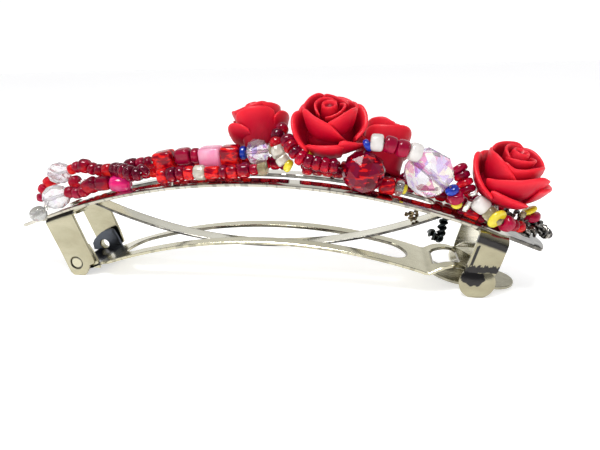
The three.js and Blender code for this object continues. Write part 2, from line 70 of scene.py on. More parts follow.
# ---------------------------------------------------------------- dimensions shared with the CAD, in mm
CHORD, SAGITTA = 80.0, 9.1
ARC_RADIUS = (CHORD ** 2 / 4 + SAGITTA ** 2) / (2 * SAGITTA)
PLATE_HALF, PLATE_SHEET = 4.5, 0.5
TONGUE_FROM, TONGUE_TIP, LEFT_TIP, TONGUE_HALF = 33.0, 39.6, 38.2, 3.7
TONGUE_HOLES, TONGUE_HOLE_R = (-36.2, 37.2), 0.8
RIVETS, RIVET_HOLE_R = (-29.5, 31.9), 0.85
SLOT_FROM, SLOT_TO, SLOT_HALF = -24.0, 25.0, 1.4
SHEET, SEAT_GAP = 0.45, 0.12
STAND_Z = -15.2
PIVOT_X, PIVOT_Z, PIVOT_HOLE = -28.05, -13.1, 1.0
BRACKET_FROM, BRACKET_TO, BRACKET_HALF, BRACKET_BEND = -31.9, -27.2, 4.6, 0.55
ARM_FROM, ARM_LEFT_Z, ARM_RIGHT_Z, ARM_END_X, ARM_RISE = -29.2, -14.55, -12.4, 25.6, 5.0
ARM_HALF, ARM_NECK, ARM_NECK_END = 4.6, 3.75, -24.4
ARM_SLOT_FROM, ARM_SLOT_TO, ARM_SLOT_HALF = -21.6, 21.7, 2.7
ARM_HOLE, BOSS_RADIUS = 0.84, 0.92
RING_FROM, RING_LENGTH = 24.0, 7.4
BOW_FROM, BOW_TO, BOW_DIP, BOW_HALF, BOW_SHEET = -25.6, 26.6, 5.7, 1.3, 0.35
LATCH_FROM, LATCH_TO, LATCH_WEB_HALF = 30.3, 34.0, 3.1
LOBE_X, LOBE_RADIUS = 30.7, 2.15
LOBE_Z = STAND_Z + LOBE_RADIUS


# ---------------------------------------------------------------- materials
BLACK, WHITE = (0, 0, 0), (1, 1, 1)


class Nodes:
    """Short ways to add nodes to a tree. An input that is given a socket is linked to it."""

    def __init__(self, tree):
        self.tree = tree

    def feed(self, target, value):
        if isinstance(value, bpy.types.NodeSocket):
            self.tree.links.new(value, target)
        elif target.type == "RGBA":
            target.default_value = (*value, 1)
        else:
            target.default_value = value

    def node(self, kind, inputs, **settings):
        made = self.tree.nodes.new(kind)
        for key, value in settings.items():
            setattr(made, key, value)
        for key, value in inputs.items():
            self.feed(made.inputs[key], value)
        return made

    def ramp(self, factor, stops, interpolation="LINEAR"):
        made = self.node("ShaderNodeValToRGB", {0: factor})
        made.color_ramp.interpolation = interpolation
        elements = made.color_ramp.elements
        while len(elements) < len(stops):
            elements.new(0.5)
        for element, (place, color) in zip(elements, stops):
            element.position = place
            element.color = (*color, 1)
        return made.outputs[0]

    def spread(self, factor, low, high, from_low=0.0, from_high=1.0):
        made = self.node("ShaderNodeMapRange", {
            "Value": factor, "From Min": from_low, "From Max": from_high, "To Min": low, "To Max": high})
        return made.outputs[0]

    def mix(self, factor, first, second, blend="MIX"):
        made = self.node("ShaderNodeMix", {}, data_type="RGBA", blend_type=blend)
        for socket, value in zip((made.inputs[0], made.inputs[6], made.inputs[7]), (factor, first, second)):
            self.feed(socket, value)
        return made.outputs[2]

    def maths(self, operation, first, second):
        return self.node("ShaderNodeMath", {0: first, 1: second}, operation=operation).outputs[0]


class Shade(Nodes):
    """A Principled material whose patterns are scaled per metre of object space."""

    def __init__(self, name, **sockets):
        self.material = bpy.data.materials.new(name)
        self.material.use_nodes = True
        super().__init__(self.material.node_tree)
        self.tree.nodes.clear()
        self.bsdf = self.node("ShaderNodeBsdfPrincipled", {})
        self.node("ShaderNodeOutputMaterial", {0: self.bsdf.outputs[0]})
        self.coordinates = self.node("ShaderNodeTexCoord", {}).outputs["Object"]
        for key, value in sockets.items():
            self.feed(self.bsdf.inputs[key.replace("_", " ")], value)

    def noise(self, scale, detail=3.0, rough=0.55, stretch=(1, 1, 1)):
        mapping = self.node("ShaderNodeMapping", {"Scale": stretch, "Vector": self.coordinates})
        made = self.node("ShaderNodeTexNoise", {
            "Scale": scale, "Detail": detail, "Roughness": rough, "Vector": mapping.outputs[0]})
        return made.outputs[0]

    def cells(self, scale):
        made = self.node("ShaderNodeTexVoronoi", {"Scale": scale, "Vector": self.coordinates})
        return made.outputs["Distance"]

    def attribute(self, name):
        return self.node("ShaderNodeAttribute", {}, attribute_name=name).outputs["Fac"]

    def finish(self, color, roughness, height=None, distance=0.0, strength=1.0):
        """Sets the surface, with a bump where there is a height, and returns the material."""
        self.feed(self.bsdf.inputs["Base Color"], color)
        self.feed(self.bsdf.inputs["Roughness"], roughness)
        if height is not None:
            bump = self.node("ShaderNodeBump", {
                "Strength": strength, "Distance": distance, "Height": height})
            self.feed(self.bsdf.inputs["Normal"], bump.outputs[0])
        return self.material


def nickel(name, bright, dark, rough_low, rough_high, scratch):
    """Nickel plating: a cloudy warm tint, hair scratches along the strip, dark specks, and painted dark
    reflections and shade.
    """
    shade = Shade(name, Metallic=1.0)
    tint = shade.ramp(shade.noise(260, 4, 0.6, (0.5, 1, 1)), [(0.3, dark), (0.62, bright)])
    specks = shade.ramp(shade.cells(900), [(0.035, WHITE), (0.07, BLACK)])
    patches = shade.ramp(shade.noise(330, 2), [(0.56, BLACK), (0.62, WHITE)])
    marked = shade.mix(shade.mix(1.0, specks, patches, "MULTIPLY"), tint, (0.14, 0.11, 0.07))
    uneven = shade.spread(shade.noise(1300, 3), 0.75, 1.25)
    # Each piece marks per point where dark reflections and shade are painted; noise makes the marks uneven.
    painted_shade = shade.maths("MULTIPLY", shade.attribute("painted_shade"), uneven)
    painted_shade_mask = shade.ramp(painted_shade, [(0.3, BLACK), (0.75, WHITE)])
    hair = shade.noise(4200, 3, 0.7, (0.06, 1, 1))
    # Painted shade: where marked, the metal turns nearly black.
    return shade.finish(shade.mix(painted_shade_mask, marked, (0.045, 0.043, 0.042)),
                        shade.spread(hair, rough_low, rough_high, 0.3, 0.7), hair, 0.000012, scratch)


def glass(name, pale, deep, roughness, ior, transmission, glow=None):
    """Pressed glass with faint swirls, deeper above and glowing below, where light leaves it."""
    shade = Shade(name, IOR=ior, Transmission_Weight=transmission)
    swirl = shade.spread(shade.noise(900, 2, 0.5, (1, 1, 0.5)), -0.35, 0.35, 0.3, 0.7)
    depth = shade.maths("ADD", shade.attribute("tint"), swirl)
    return shade.finish(shade.ramp(depth, [(0.1, deep), (0.65, pale), (1.0, glow or pale)]),
                        shade.spread(shade.noise(1500, 2), roughness * 0.6, roughness * 1.8, 0.3, 0.7),
                        shade.noise(1100, 1), 0.00003, 0.25)


def foiled(name, bright, middle, dark):
    """Glass over a crinkled silver lining: bright streaks along the bead, broken by dark creases."""
    shade = Shade(name, IOR=1.35, Transmission_Weight=0.2)
    # The tint, with the beads' painted glow low down, shifts the creases: the foil comes out darker on top
    # and brighter below.
    depth = shade.spread(shade.attribute("tint"), -0.11, 0.04)
    creases = shade.maths("ADD", shade.noise(1700, 2, 0.6, (0.4, 1, 1.2)), depth)
    stops = [(0.40, dark), (0.46, middle), (0.52, bright), (0.60, bright), (0.64, middle)]
    return shade.finish(shade.ramp(creases, stops),
                        shade.spread(shade.noise(1500, 2), 0.02, 0.06, 0.3, 0.7), creases, 0.00003, 0.3)


def cut_glass(name, tints, ior, transmission, coat=0.8, spark=None):
    """Cut crystal: each facet has its own tint, sparks of light may lie in it, and its skin is polished."""
    shade = Shade(name, IOR=ior, Transmission_Weight=transmission, Coat_Weight=coat, Coat_Roughness=0.02)
    veil = shade.spread(shade.noise(700, 1), -0.08, 0.08, 0.3, 0.7)
    tint = shade.ramp(shade.maths("ADD", shade.attribute("facet"), veil), tints, "CONSTANT")
    if spark:
        streaks = shade.ramp(shade.noise(1300, 2, 0.6, (0.5, 1, 1.5)), [(0.58, BLACK), (0.63, WHITE)])
        tint = shade.mix(streaks, tint, spark)
    return shade.finish(tint, shade.spread(shade.noise(1900, 2), 0.02, 0.08, 0.3, 0.7))


def lining_material(name, bright, dark):
    """Silver that lines a bead's bore, with a crinkled foil surface."""
    shade = Shade(name, Metallic=1.0)
    return shade.finish(shade.ramp(shade.noise(1800, 2), [(0.35, dark), (0.65, bright)]),
                        shade.spread(shade.noise(2500, 2), 0.1, 0.3),
                        shade.noise(2600, 2, 0.5, (0.3, 1, 1)), 0.00008, 0.8)


def rose_material(name, lip, side, fold, mottling):
    """Moulded satin resin, lighter on the thin lips as painted light and deeper in the folds as painted
    shade, with fine flow marks.
    """
    shade = Shade(name, IOR=1.48, Specular_IOR_Level=0.16, Subsurface_Weight=0.12,
                  Subsurface_Radius=(1.0, 0.15, 0.1), Subsurface_Scale=0.0005)
    body = shade.ramp(shade.attribute("lip"), [(0.0, fold), (0.45, side), (1.0, lip)])
    mottled = shade.spread(shade.noise(480, 3, 0.6), 0.0, 0.35, 0.4, 0.75)
    return shade.finish(shade.mix(mottled, body, mottling),
                        shade.spread(shade.noise(1600, 3), 0.30, 0.48, 0.3, 0.7),
                        shade.noise(2300, 3, 0.6), 0.00004, 0.35)


def wire_material(name, bright, dark):
    shade = Shade(name, Metallic=1.0)
    return shade.finish(shade.ramp(shade.noise(1500, 3), [(0.35, dark), (0.65, bright)]),
                        shade.spread(shade.noise(2600, 2), 0.15, 0.4, 0.3, 0.7),
                        shade.noise(3500, 2), 0.00003, 0.5)


MATERIALS = {}


def stock(kind, make, looks):
    for name, look in looks.items():
        MATERIALS[f"{kind}_{name}"] = make(f"{kind}_{name}", *look)


# bright and dark tint, lowest and highest roughness, strength of the scratches
stock("nickel", nickel, {
    "mirror": ((0.60, 0.57, 0.49), (0.44, 0.41, 0.33), 0.04, 0.10, 0.2),
    "satin": ((0.56, 0.53, 0.39), (0.46, 0.43, 0.30), 0.16, 0.28, 0.3),
    "khaki": ((0.48, 0.45, 0.32), (0.37, 0.34, 0.23), 0.16, 0.28, 0.4),
    # darker copy, for painted shade on the front latch leg
    "worn": ((0.41, 0.38, 0.26), (0.30, 0.275, 0.18), 0.16, 0.28, 0.5),
    # lighter; on the rear latch leg it stands for painted light
    "bow": ((0.82, 0.80, 0.68), (0.66, 0.63, 0.52), 0.14, 0.26, 0.3),
    # nearly black: painted shade on the arm's rear ear
    "dark": ((0.10, 0.11, 0.13), (0.05, 0.055, 0.07), 0.25, 0.4, 0.3),
})
# pale and deep tint, roughness, index of refraction, transmission, and the glow of clear reds
stock("glass", glass, {
    "red": ((0.60, 0.002, 0.035), (0.40, 0.001, 0.03), 0.03, 1.32, 0.5, (0.95, 0.015, 0.03)),
    "orange": ((0.85, 0.01, 0.02), (0.58, 0.003, 0.02), 0.03, 1.32, 0.5, (1.0, 0.035, 0.02)),
    "dark_red": ((0.32, 0.001, 0.033), (0.16, 0.0, 0.022), 0.03, 1.32, 0.5, (0.66, 0.003, 0.015)),
    "crimson": ((0.42, 0.003, 0.042), (0.28, 0.001, 0.028), 0.08, 1.35, 0.15),
    "pink": ((1.0, 0.28, 0.50), (1.0, 0.50, 0.66), 0.06, 1.4, 0.3),
    "magenta": ((1.0, 0.16, 0.42), (1.0, 0.02, 0.25), 0.05, 1.35, 0.45),
    "blue": ((0.004, 0.04, 0.46), (0.003, 0.02, 0.28), 0.08, 1.5, 0.1),
    "white": ((0.80, 0.77, 0.74), (0.68, 0.65, 0.61), 0.1, 1.4, 0.12),
    "pearl": ((0.92, 0.88, 0.78), (0.80, 0.74, 0.62), 0.08, 1.5, 0.55),
    "yellow": ((0.88, 0.74, 0.05), (0.72, 0.58, 0.01), 0.08, 1.5, 0.1),
    "topaz": ((0.70, 0.62, 0.40), (0.40, 0.33, 0.18), 0.04, 1.4, 0.6),
    "clear": ((0.74, 0.74, 0.72), (0.46, 0.46, 0.44), 0.02, 1.3, 0.75),
})
stock("glass", foiled, {"foiled": ((0.90, 0.014, 0.01), (0.58, 0.002, 0.015), (0.28, 0.0, 0.014))})
# tints of the facets, index of refraction, transmission, coat, sparks
stock("crystal", cut_glass, {
    "aurora": ([(0.0, (0.95, 0.94, 0.95)), (0.30, (0.76, 0.73, 0.78)), (0.50, (0.45, 0.32, 0.76)),
                (0.61, (0.74, 0.20, 0.46)), (0.71, (0.96, 0.93, 0.66)), (0.81, (0.90, 0.76, 0.86)),
                (0.91, (0.98, 0.98, 0.98))], 1.22, 0.8),
    "clear": ([(0.0, (0.92, 0.92, 0.92)), (0.42, (0.74, 0.73, 0.76)), (0.58, (0.85, 0.80, 0.90)),
               (0.70, (0.93, 0.80, 0.82)), (0.82, (0.98, 0.98, 0.97))], 1.22, 0.75),
    "red": ([(0.0, (0.13, 0.0, 0.011)), (0.35, (0.21, 0.0, 0.016)), (0.65, (0.30, 0.001, 0.02)),
             (0.84, (0.22, 0.004, 0.035))], 1.25, 0.3, 0.25, (0.80, 0.008, 0.012)),
})
stock("wire", wire_material, {
    "silver": ((0.88, 0.87, 0.83), (0.55, 0.54, 0.50)),
    "dark": ((0.30, 0.28, 0.27), (0.07, 0.07, 0.08)),
    "tail": ((0.05, 0.06, 0.06), (0.012, 0.014, 0.016)),
    "wrap": ((0.42, 0.40, 0.36), (0.02, 0.02, 0.025)),
    "brown": ((0.34, 0.27, 0.17), (0.12, 0.09, 0.06)),
})
stock("bead", lining_material, {"lining": ((0.98, 0.80, 0.72), (0.75, 0.40, 0.32))})
# colours of the lips (painted light), the sides, the folds (painted shade), and of the mottling
stock("rose", rose_material, {
    "resin": ((0.84, 0.022, 0.04), (0.47, 0.0015, 0.018), (0.25, 0.0005, 0.012), (0.58, 0.006, 0.024))})


# ---------------------------------------------------------------- pieces
def add_piece(name, points, faces, material, slot, body="clip_base", nodes=(), sharp=32.0,
              values=None, blend=None):
    """One mesh object from points in mm; values are per-point attributes that its material reads."""
    mesh = bpy.data.meshes.new(name)
    mesh.from_pydata(to_row(points).tolist(), [], faces)
    shaped = bmesh.new()
    shaped.from_mesh(mesh)
    bmesh.ops.recalc_face_normals(shaped, faces=shaped.faces)
    shaped.to_mesh(mesh)
    shaped.free()
    for key, numbers in (values or {}).items():
        attribute = mesh.attributes.new(key, "FLOAT", "POINT")
        attribute.data.foreach_set("value", np.asarray(numbers, np.float32))
    mesh.shade_smooth()
    if sharp is not None:
        mesh.set_sharp_from_angle(angle=math.radians(sharp))
    piece = bpy.data.objects.new(name, mesh)
    bpy.context.scene.collection.objects.link(piece)
    mesh.materials.append(MATERIALS[material])
    if blend:
        other, start, end = blend
        tuple(to_row(start))
        tuple(to_row(end))
        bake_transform(piece)
    else:
        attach(piece, body)
    if nodes:
        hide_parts(*nodes)
    return piece


GLOW = 0.7  # how much brighter a bead's tint gets where the light from above leaves it


class Batch:
    """Closed shells gathered into one piece, each with its own tint."""

    def __init__(self):
        self.points, self.faces, self.tints = [], [], []
        self.count = 0

    def add(self, points, faces, tint=0.5):
        self.points.append(np.asarray(points, float))
        self.faces.extend([tuple(i + self.count for i in face) for face in faces])
        heights = self.points[-1][:, 2]
        level = (heights - heights.mean()) / (np.ptp(heights) / 2)
        self.tints.extend(tint - 0.25 + GLOW * np.exp(-((level + 0.45) / 0.4) ** 2))
        self.count += len(points)

    def piece(self, name, material, slot, **options):
        return add_piece(name, np.vstack(self.points), self.faces, material, slot,
                         values={"tint": self.tints}, **options)


# ---------------------------------------------------------------- curves of the sheets
def arc_z(x):
    return np.sqrt(ARC_RADIUS ** 2 - np.asarray(x, float) ** 2) - ARC_RADIUS


def plate_z(x):
    """Upper side of the plate: an arc whose end tongues run on straight."""
    reach = np.abs(np.asarray(x, float))
    slope = TONGUE_FROM / math.sqrt(ARC_RADIUS ** 2 - TONGUE_FROM ** 2)
    return np.where(reach <= TONGUE_FROM, arc_z(np.minimum(reach, TONGUE_FROM)),
                    arc_z(TONGUE_FROM) - slope * (reach - TONGUE_FROM))


def under_plate(x):
    return plate_z(x) - PLATE_SHEET - SEAT_GAP


def smooth_step(value, low, high):
    t = np.clip((np.asarray(value, float) - low) / (high - low), 0, 1)
    return t * t * (3 - 2 * t)


def arm_z(x):
    """Upper side of the arm, with the arched rails of its end ring from RING_FROM on."""
    x = np.asarray(x, float)
    t = np.maximum((x - PIVOT_X) / (ARM_END_X - PIVOT_X), 0.03)
    body = ARM_LEFT_Z + (ARM_RIGHT_Z - ARM_LEFT_Z) * t * (t > 0.031) + 4 * ARM_RISE * t * (1 - t)
    s = (x - RING_FROM) / RING_LENGTH
    ring = -12.15 - 0.45 * s + 1.35 * np.sin(math.pi * s)
    return body + (ring - body) * smooth_step(x, RING_FROM - 0.4, RING_FROM + 1.4)


def finger_z(x):
    """The finger tongue: pressed down out of the ring's window, under the cross bar, to the tab."""
    x = np.asarray(x, float)
    t = np.minimum((x - 24.4) / 5.6, 1)
    return -12.2 - 2.05 * t * (2 - t) - 0.03 * np.maximum(x - 30, 0)


def bow_z(x):
    t = (np.asarray(x, float) - BOW_FROM) / (BOW_TO - BOW_FROM)
    chord = under_plate(BOW_FROM) + (under_plate(BOW_TO) - under_plate(BOW_FROM)) * t
    return chord - 4 * BOW_DIP * t * (1 - t)


# ---------------------------------------------------------------- sheet metal from flat blanks
def circle(cx, cy, radius, count=28):
    turns = [2 * math.pi * i / count for i in range(count)]
    return [(cx + radius * math.cos(turn), cy + radius * math.sin(turn)) for turn in turns]


def arc_points(cx, cy, radius, start, end, count=9):
    """Points on an arc between two angles in degrees, both ends included."""
    sweep = math.radians(end - start)
    turns = [math.radians(start) + sweep * i / (count - 1) for i in range(count)]
    return [(cx + radius * math.cos(turn), cy + radius * math.sin(turn)) for turn in turns]


def refined(loop, step):
    points = []
    for (ax, ay), (bx, by) in zip(loop, loop[1:] + loop[:1]):
        pieces = max(1, math.ceil(math.hypot(bx - ax, by - ay) / step))
        points.extend((ax + (bx - ax) * i / pieces, ay + (by - ay) * i / pieces) for i in range(pieces))
    return np.array(points)


def signed_area(loop):
    x, y = loop[:, 0], loop[:, 1]
    return 0.5 * np.sum(x * np.roll(y, -1) - np.roll(x, -1) * y)


def inset(loop, amount):
    """The loop moved to its left: into the sheet, for an outline and for a hole wound the other way."""
    ahead = np.roll(loop, -1, axis=0) - loop
    behind = loop - np.roll(loop, 1, axis=0)
    normals = []
    for edge in (ahead, behind):
        length = np.linalg.norm(edge, axis=1, keepdims=True)
        normals.append(np.stack([-edge[:, 1], edge[:, 0]], 1) / length)
    total = normals[0] + normals[1]
    total /= np.maximum(np.linalg.norm(total, axis=1, keepdims=True), 0.3)
    cosine = np.maximum(np.sum(total * normals[0], axis=1, keepdims=True), 0.5)
    return loop + total / cosine * amount


def inside(points, loops):
    """Even-odd test of points against all loops."""
    within = np.zeros(len(points), bool)
    for loop in loops:
        following = np.roll(loop, -1, axis=0)
        for (ax, ay), (bx, by) in zip(loop, following):
            crosses = (ay > points[:, 1]) != (by > points[:, 1])
            at = ax + (points[:, 1] - ay) * (bx - ax) / (by - ay if by != ay else 1e-12)
            within ^= crosses & (points[:, 0] < at)
    return within


def sheet_mesh(outline, holes, thickness, place, step=0.7, edge=0.07):
    """A stamped sheet with broken edges: a flat blank of (u, v), mapped into space by place(u, v, n)."""
    loops = []
    for index, loop in enumerate([outline, *holes]):
        fine = refined(list(loop), step)
        if (signed_area(fine) > 0) != (index == 0):
            fine = fine[::-1]
        loops.append(fine)
    inner = [inset(loop, edge) for loop in loops]
    every = np.vstack(loops)
    low, high = every.min(0), every.max(0)
    grid_u = np.arange(low[0] + step / 2, high[0], step)
    grid_v = np.arange(low[1] + step / 2, high[1], step)
    grid = np.array([(u, v) for u in grid_u for v in grid_v])
    grid = grid[inside(grid, inner)]
    border = np.vstack(inner)
    far = np.array([np.min(np.sum((border - p) ** 2, axis=1)) > (0.4 * step) ** 2 for p in grid], bool)
    grid = grid[far] if len(grid) else grid.reshape(0, 2)
    flat = np.vstack([border, grid])
    edges, start = [], 0
    for loop in inner:
        edges.extend((start + i, start + (i + 1) % len(loop)) for i in range(len(loop)))
        start += len(loop)
    found = delaunay_2d_cdt([Vector(p) for p in flat], edges, [], 0, 1e-6)
    coords, triangles, origins = found[0], found[2], found[3]
    flat_out = np.array([tuple(c) for c in coords])
    middles = np.array([flat_out[list(t)].mean(axis=0) for t in triangles])
    triangles = [t for t, kept in zip(triangles, inside(middles, inner)) if kept]
    place_of = {}
    for index, sources in enumerate(origins):
        for source in sources:
            place_of[source] = index
    count = len(flat_out)
    upper = np.column_stack([flat_out, np.zeros(count)])
    lower = np.column_stack([flat_out, np.full(count, -thickness)])
    blank = [upper, lower]
    faces = [tuple(t) for t in triangles] + [tuple(i + count for i in reversed(t)) for t in triangles]
    total, start = 2 * count, 0
    for loop in loops:
        size = len(loop)
        blank.append(np.column_stack([loop, np.full(size, -edge)]))
        blank.append(np.column_stack([loop, np.full(size, -thickness + edge)]))
        rings = [[place_of[start + i] for i in range(size)],
                 [total + i for i in range(size)],
                 [total + size + i for i in range(size)],
                 [place_of[start + i] + count for i in range(size)]]
        for first, second in zip(rings, rings[1:]):
            for i in range(size):
                j = (i + 1) % size
                faces.append((first[i], second[i], second[j], first[j]))
        start += size
        total += 2 * size
    blank = np.vstack(blank)
    return place(blank[:, 0], blank[:, 1], blank[:, 2]), faces, blank


def draped(height, crown_from=99.0, crown=0.0):
    """Places a blank on a curve z = height(x), its edges rolled down beyond |y| = crown_from."""
    def place(u, v, n):
        slope = (height(u + 0.01) - height(u - 0.01)) / 0.02
        length = np.sqrt(1 + slope ** 2)
        over = np.maximum(np.abs(v) - crown_from, 0)
        tilt = crown * over * np.sign(v)
        rise = height(u) - crown * over ** 2 / 2 + n / length
        return np.column_stack([u - slope / length * n, v + tilt * n, rise])
    return place


def rounded_slot(x0, x1, half):
    return arc_points(x1 - half, 0, half, -90, 90, 17) + arc_points(x0 + half, 0, half, 90, 270, 17)


def rectangle(x0, x1, half):
    return [(x0, -half), (x1, -half), (x1, half), (x0, half)]


def rivet_hole(x):
    return circle(x, 0, RIVET_HOLE_R)


def near(distance, width):
    """1 where the distance is zero, fading to nothing beyond the width."""
    return np.exp(-(distance / width) ** 2)


def build_plate():
    shoulder = [(TONGUE_FROM, PLATE_HALF), (TONGUE_FROM + 0.9, PLATE_HALF - 0.25),
                (TONGUE_FROM + 1.6, TONGUE_HALF)]
    blunt = [(-1.7, 3.7), (-1.1, 3.62), (-0.8, 3.3), (-0.35, 2.1), (-0.08, 1.0), (0.0, 0.0)]
    round_tip = arc_points(-2.4, 1.0, 2.4, 90, 0)
    right = [(x, -y) for x, y in shoulder] + [(TONGUE_TIP + x, -y) for x, y in blunt]
    right += [(x, -y) for x, y in reversed(right[:-1])]
    left = [(-x, y) for x, y in shoulder] + [(-LEFT_TIP - x, y) for x, y in round_tip]
    left += [(x, -y) for x, y in reversed(left)]
    outline = right + left
    holes = [rounded_slot(SLOT_FROM, SLOT_TO, SLOT_HALF)]
    holes += [circle(x, 0, TONGUE_HOLE_R) for x in TONGUE_HOLES]
    holes += [rivet_hole(x) for x in RIVETS]
    points, faces, blank = sheet_mesh(outline, holes, PLATE_SHEET, draped(plate_z, 4.0, 1.0), 0.45)
    along, reach = blank[:, 0], np.abs(blank[:, 1])
    # Painted dark reflections and shade: along the slot's edges, in broken dashes along the rims, and over
    # the right tongue.
    slot_edge = near(reach - SLOT_HALF, 0.15) * (np.abs(along) < SLOT_TO + 0.3) * 0.65
    broken = np.sin(along * 7 + 5 * np.sin(along * 1.3) + 3 * np.sin(along * 3.1)) > 0.3
    rim = np.clip((reach - PLATE_HALF + 0.12) / 0.1, 0, 1) * broken * 0.5
    tongue_shade = np.clip((along - TONGUE_FROM) / 1.5, 0, 1) * 0.66
    add_piece("plate", points, faces, "nickel_mirror", "nickel", nodes=["top_plate"],
              values={"painted_shade": np.maximum(np.maximum(slot_edge, rim), tongue_shade)})


def build_bracket():
    straight = BRACKET_HALF - BRACKET_BEND
    bend_end = straight + BRACKET_BEND * math.pi / 2

    def place(u, v, n):
        reach, side = np.abs(v), np.sign(v)
        top = under_plate(u)
        angle = np.clip((reach - straight) / BRACKET_BEND, 0, math.pi / 2)
        radius = BRACKET_BEND + n
        y = np.minimum(reach, straight) + radius * np.sin(angle)
        z = top - BRACKET_BEND + radius * np.cos(angle) - np.maximum(reach - bend_end, 0)
        return np.column_stack([u, side * y, z])

    def unfolded(x, z):
        return bend_end + float(under_plate(x)) - BRACKET_BEND - z

    ear = [(-30.2, -11.9), (-29.65, -13.8), (-29.3, -14.75), (-28.85, STAND_Z), (-27.1, STAND_Z),
           (-26.75, -14.95), (-26.2, -14.1), (-26.0, -13.5), (-25.15, -13.05), (-25.05, -12.75),
           (-25.45, -10.9)]
    flat = [(BRACKET_FROM, bend_end), *((x, unfolded(x, z)) for x, z in ear), (BRACKET_TO, bend_end)]
    outline = [(x, -v) for x, v in flat] + [(x, v) for x, v in reversed(flat)]
    hole = [(x, unfolded(x, z)) for x, z in circle(PIVOT_X, PIVOT_Z, PIVOT_HOLE, 32)]
    holes = [hole, [(x, -v) for x, v in hole], rivet_hole(RIVETS[0])]
    points, faces, blank = sheet_mesh(outline, holes, SHEET, place, 0.35)
    reach = np.abs(blank[:, 1])
    # Painted shade: a dark line along the bends under the plate, and a dark ring round each pivot hole, in
    # the gap round the arm's boss.
    fold = near(reach - straight - 0.45, 0.3) * 1.2
    from_pivot = np.hypot(points[:, 0] - PIVOT_X, points[:, 2] - PIVOT_Z)
    worn = near(from_pivot - PIVOT_HOLE, 0.12) * (np.abs(points[:, 1]) > 4) * 0.55
    add_piece("bracket", points, faces, "nickel_khaki", "nickel", nodes=["hinge_bracket"],
              values={"painted_shade": np.maximum(fold, worn)})


def build_arm():
    def add(name, points, faces, finish="nickel_satin", **options):
        add_piece(name, points, faces, finish, "nickel", body="clasp", nodes=["clasp_arm"], **options)

    side = [(ARM_FROM, ARM_NECK), (ARM_NECK_END, ARM_NECK), (-23.7, ARM_NECK + 0.3), (-23.0, ARM_HALF),
            (25.0, ARM_HALF), (25.9, ARM_HALF - 0.1), (28.4, 3.6), (30.7, 3.4), (31.2, 3.2), (31.4, 2.8)]
    outline = [(x, -y) for x, y in side] + list(reversed(side))
    half_window = [(25.2, 2.2), (25.6, 2.6), (28.3, 2.6), (28.8, 2.0)]
    window = [(x, -y) for x, y in half_window] + list(reversed(half_window))
    holes = [rounded_slot(ARM_SLOT_FROM, ARM_SLOT_TO, ARM_SLOT_HALF), window]
    points, faces, blank = sheet_mesh(outline, holes, SHEET, draped(arm_z), 0.5)
    along, reach = blank[:, 0], np.abs(blank[:, 1])
    # Painted dark reflections and shade: round the slot and the window, in dashes along the rims, and at
    # the root of the neck.
    to_slot = np.hypot(np.maximum(np.abs(along) - 19, 0), reach) - ARM_SLOT_HALF
    to_window = np.maximum(np.abs(along - 27) - 1.8, reach - 2.6)
    holes_edge = near(np.minimum(np.abs(to_slot), np.abs(to_window)), 0.14) * 0.62
    rim = (reach > ARM_HALF - 0.1) * (np.sin(along * 3 + 4 * np.sin(along * 0.9)) > -0.2) * 0.45
    root = np.clip((ARM_NECK_END + 0.2 - along) / 0.8, 0, 1) * 0.9
    add("arm", points, faces, values={"painted_shade": np.maximum(np.maximum(holes_edge, root), rim)})

    finger_side = [(24.7, 2.35), (30.3, 2.4), (31.5, 2.62)]
    finger = [(x, -y) for x, y in finger_side]
    finger += arc_points(33.6, 0, 3.0, -115, 115, 25) + list(reversed(finger_side))
    points, faces, blank = sheet_mesh(finger, [], SHEET, draped(finger_z), 0.6)
    # Painted shade over the finger, fading out at its bend.
    past_bend = blank[:, 0] - 30.5
    worn = np.clip(past_bend / 1.5, 0, 1) * 0.47 + np.clip(-past_bend / 2, 0, 1) * 0.55
    add("arm_finger", points, faces, values={"painted_shade": worn})

    lug = [(-30.2, -14.2), (-30.3, -13.1), (-29.9, -12.4), (-29.2, -11.7), (-28.4, -11.05), (-27.4, -10.55),
           (-26.6, -10.25), (-26.1, -10.4), (-25.5, -11.7), (-25.0, -13.2), (-24.8, -14.2)]
    wall = [(BOSS_RADIUS, ARM_NECK - 0.30), (BOSS_RADIUS, 4.30), (0.86, 4.46)]
    cap = [(0.60, 4.54), (0.30, 4.50), (0.0, 4.48), (0.0, 4.20), (0.3, 4.18), (0.60, 4.05)]
    open_rim = [(0.82, 4.46), (0.78, 4.3)]
    inner_wall = [(0.78, 3.8), (0.78, ARM_NECK - SHEET + 0.05), (ARM_HOLE, ARM_NECK - SHEET - 0.02)]
    # The rear ear takes the nearly black nickel as painted shade, for it stands in shade inside the
    # bracket.
    sides = (("front", -1, "nickel_satin", cap), ("rear", 1, "nickel_dark", open_rim))
    for side_name, sign, finish, end in sides:
        def upright(u, v, n, sign=sign):
            return np.column_stack([u, sign * (ARM_NECK + n), v])

        hole = circle(PIVOT_X, PIVOT_Z, ARM_HOLE, 24)
        points, faces, _ = sheet_mesh(lug, [hole], SHEET, upright, 0.4)
        add(f"arm_ear_{side_name}", points, faces, finish)
        points, faces = lathe(wall + end + inner_wall, 28)
        turned = np.column_stack([points[:, 0] + PIVOT_X, sign * points[:, 2], points[:, 1] + PIVOT_Z])
        # A dark ring painted round each boss's rim, as shade in the gap of the pivot hole.
        edge = near(np.hypot(points[:, 0], points[:, 1]) - 0.86, 0.1) * 0.7
        add(f"arm_boss_{side_name}", turned, faces, sharp=50, values={"painted_shade": edge})


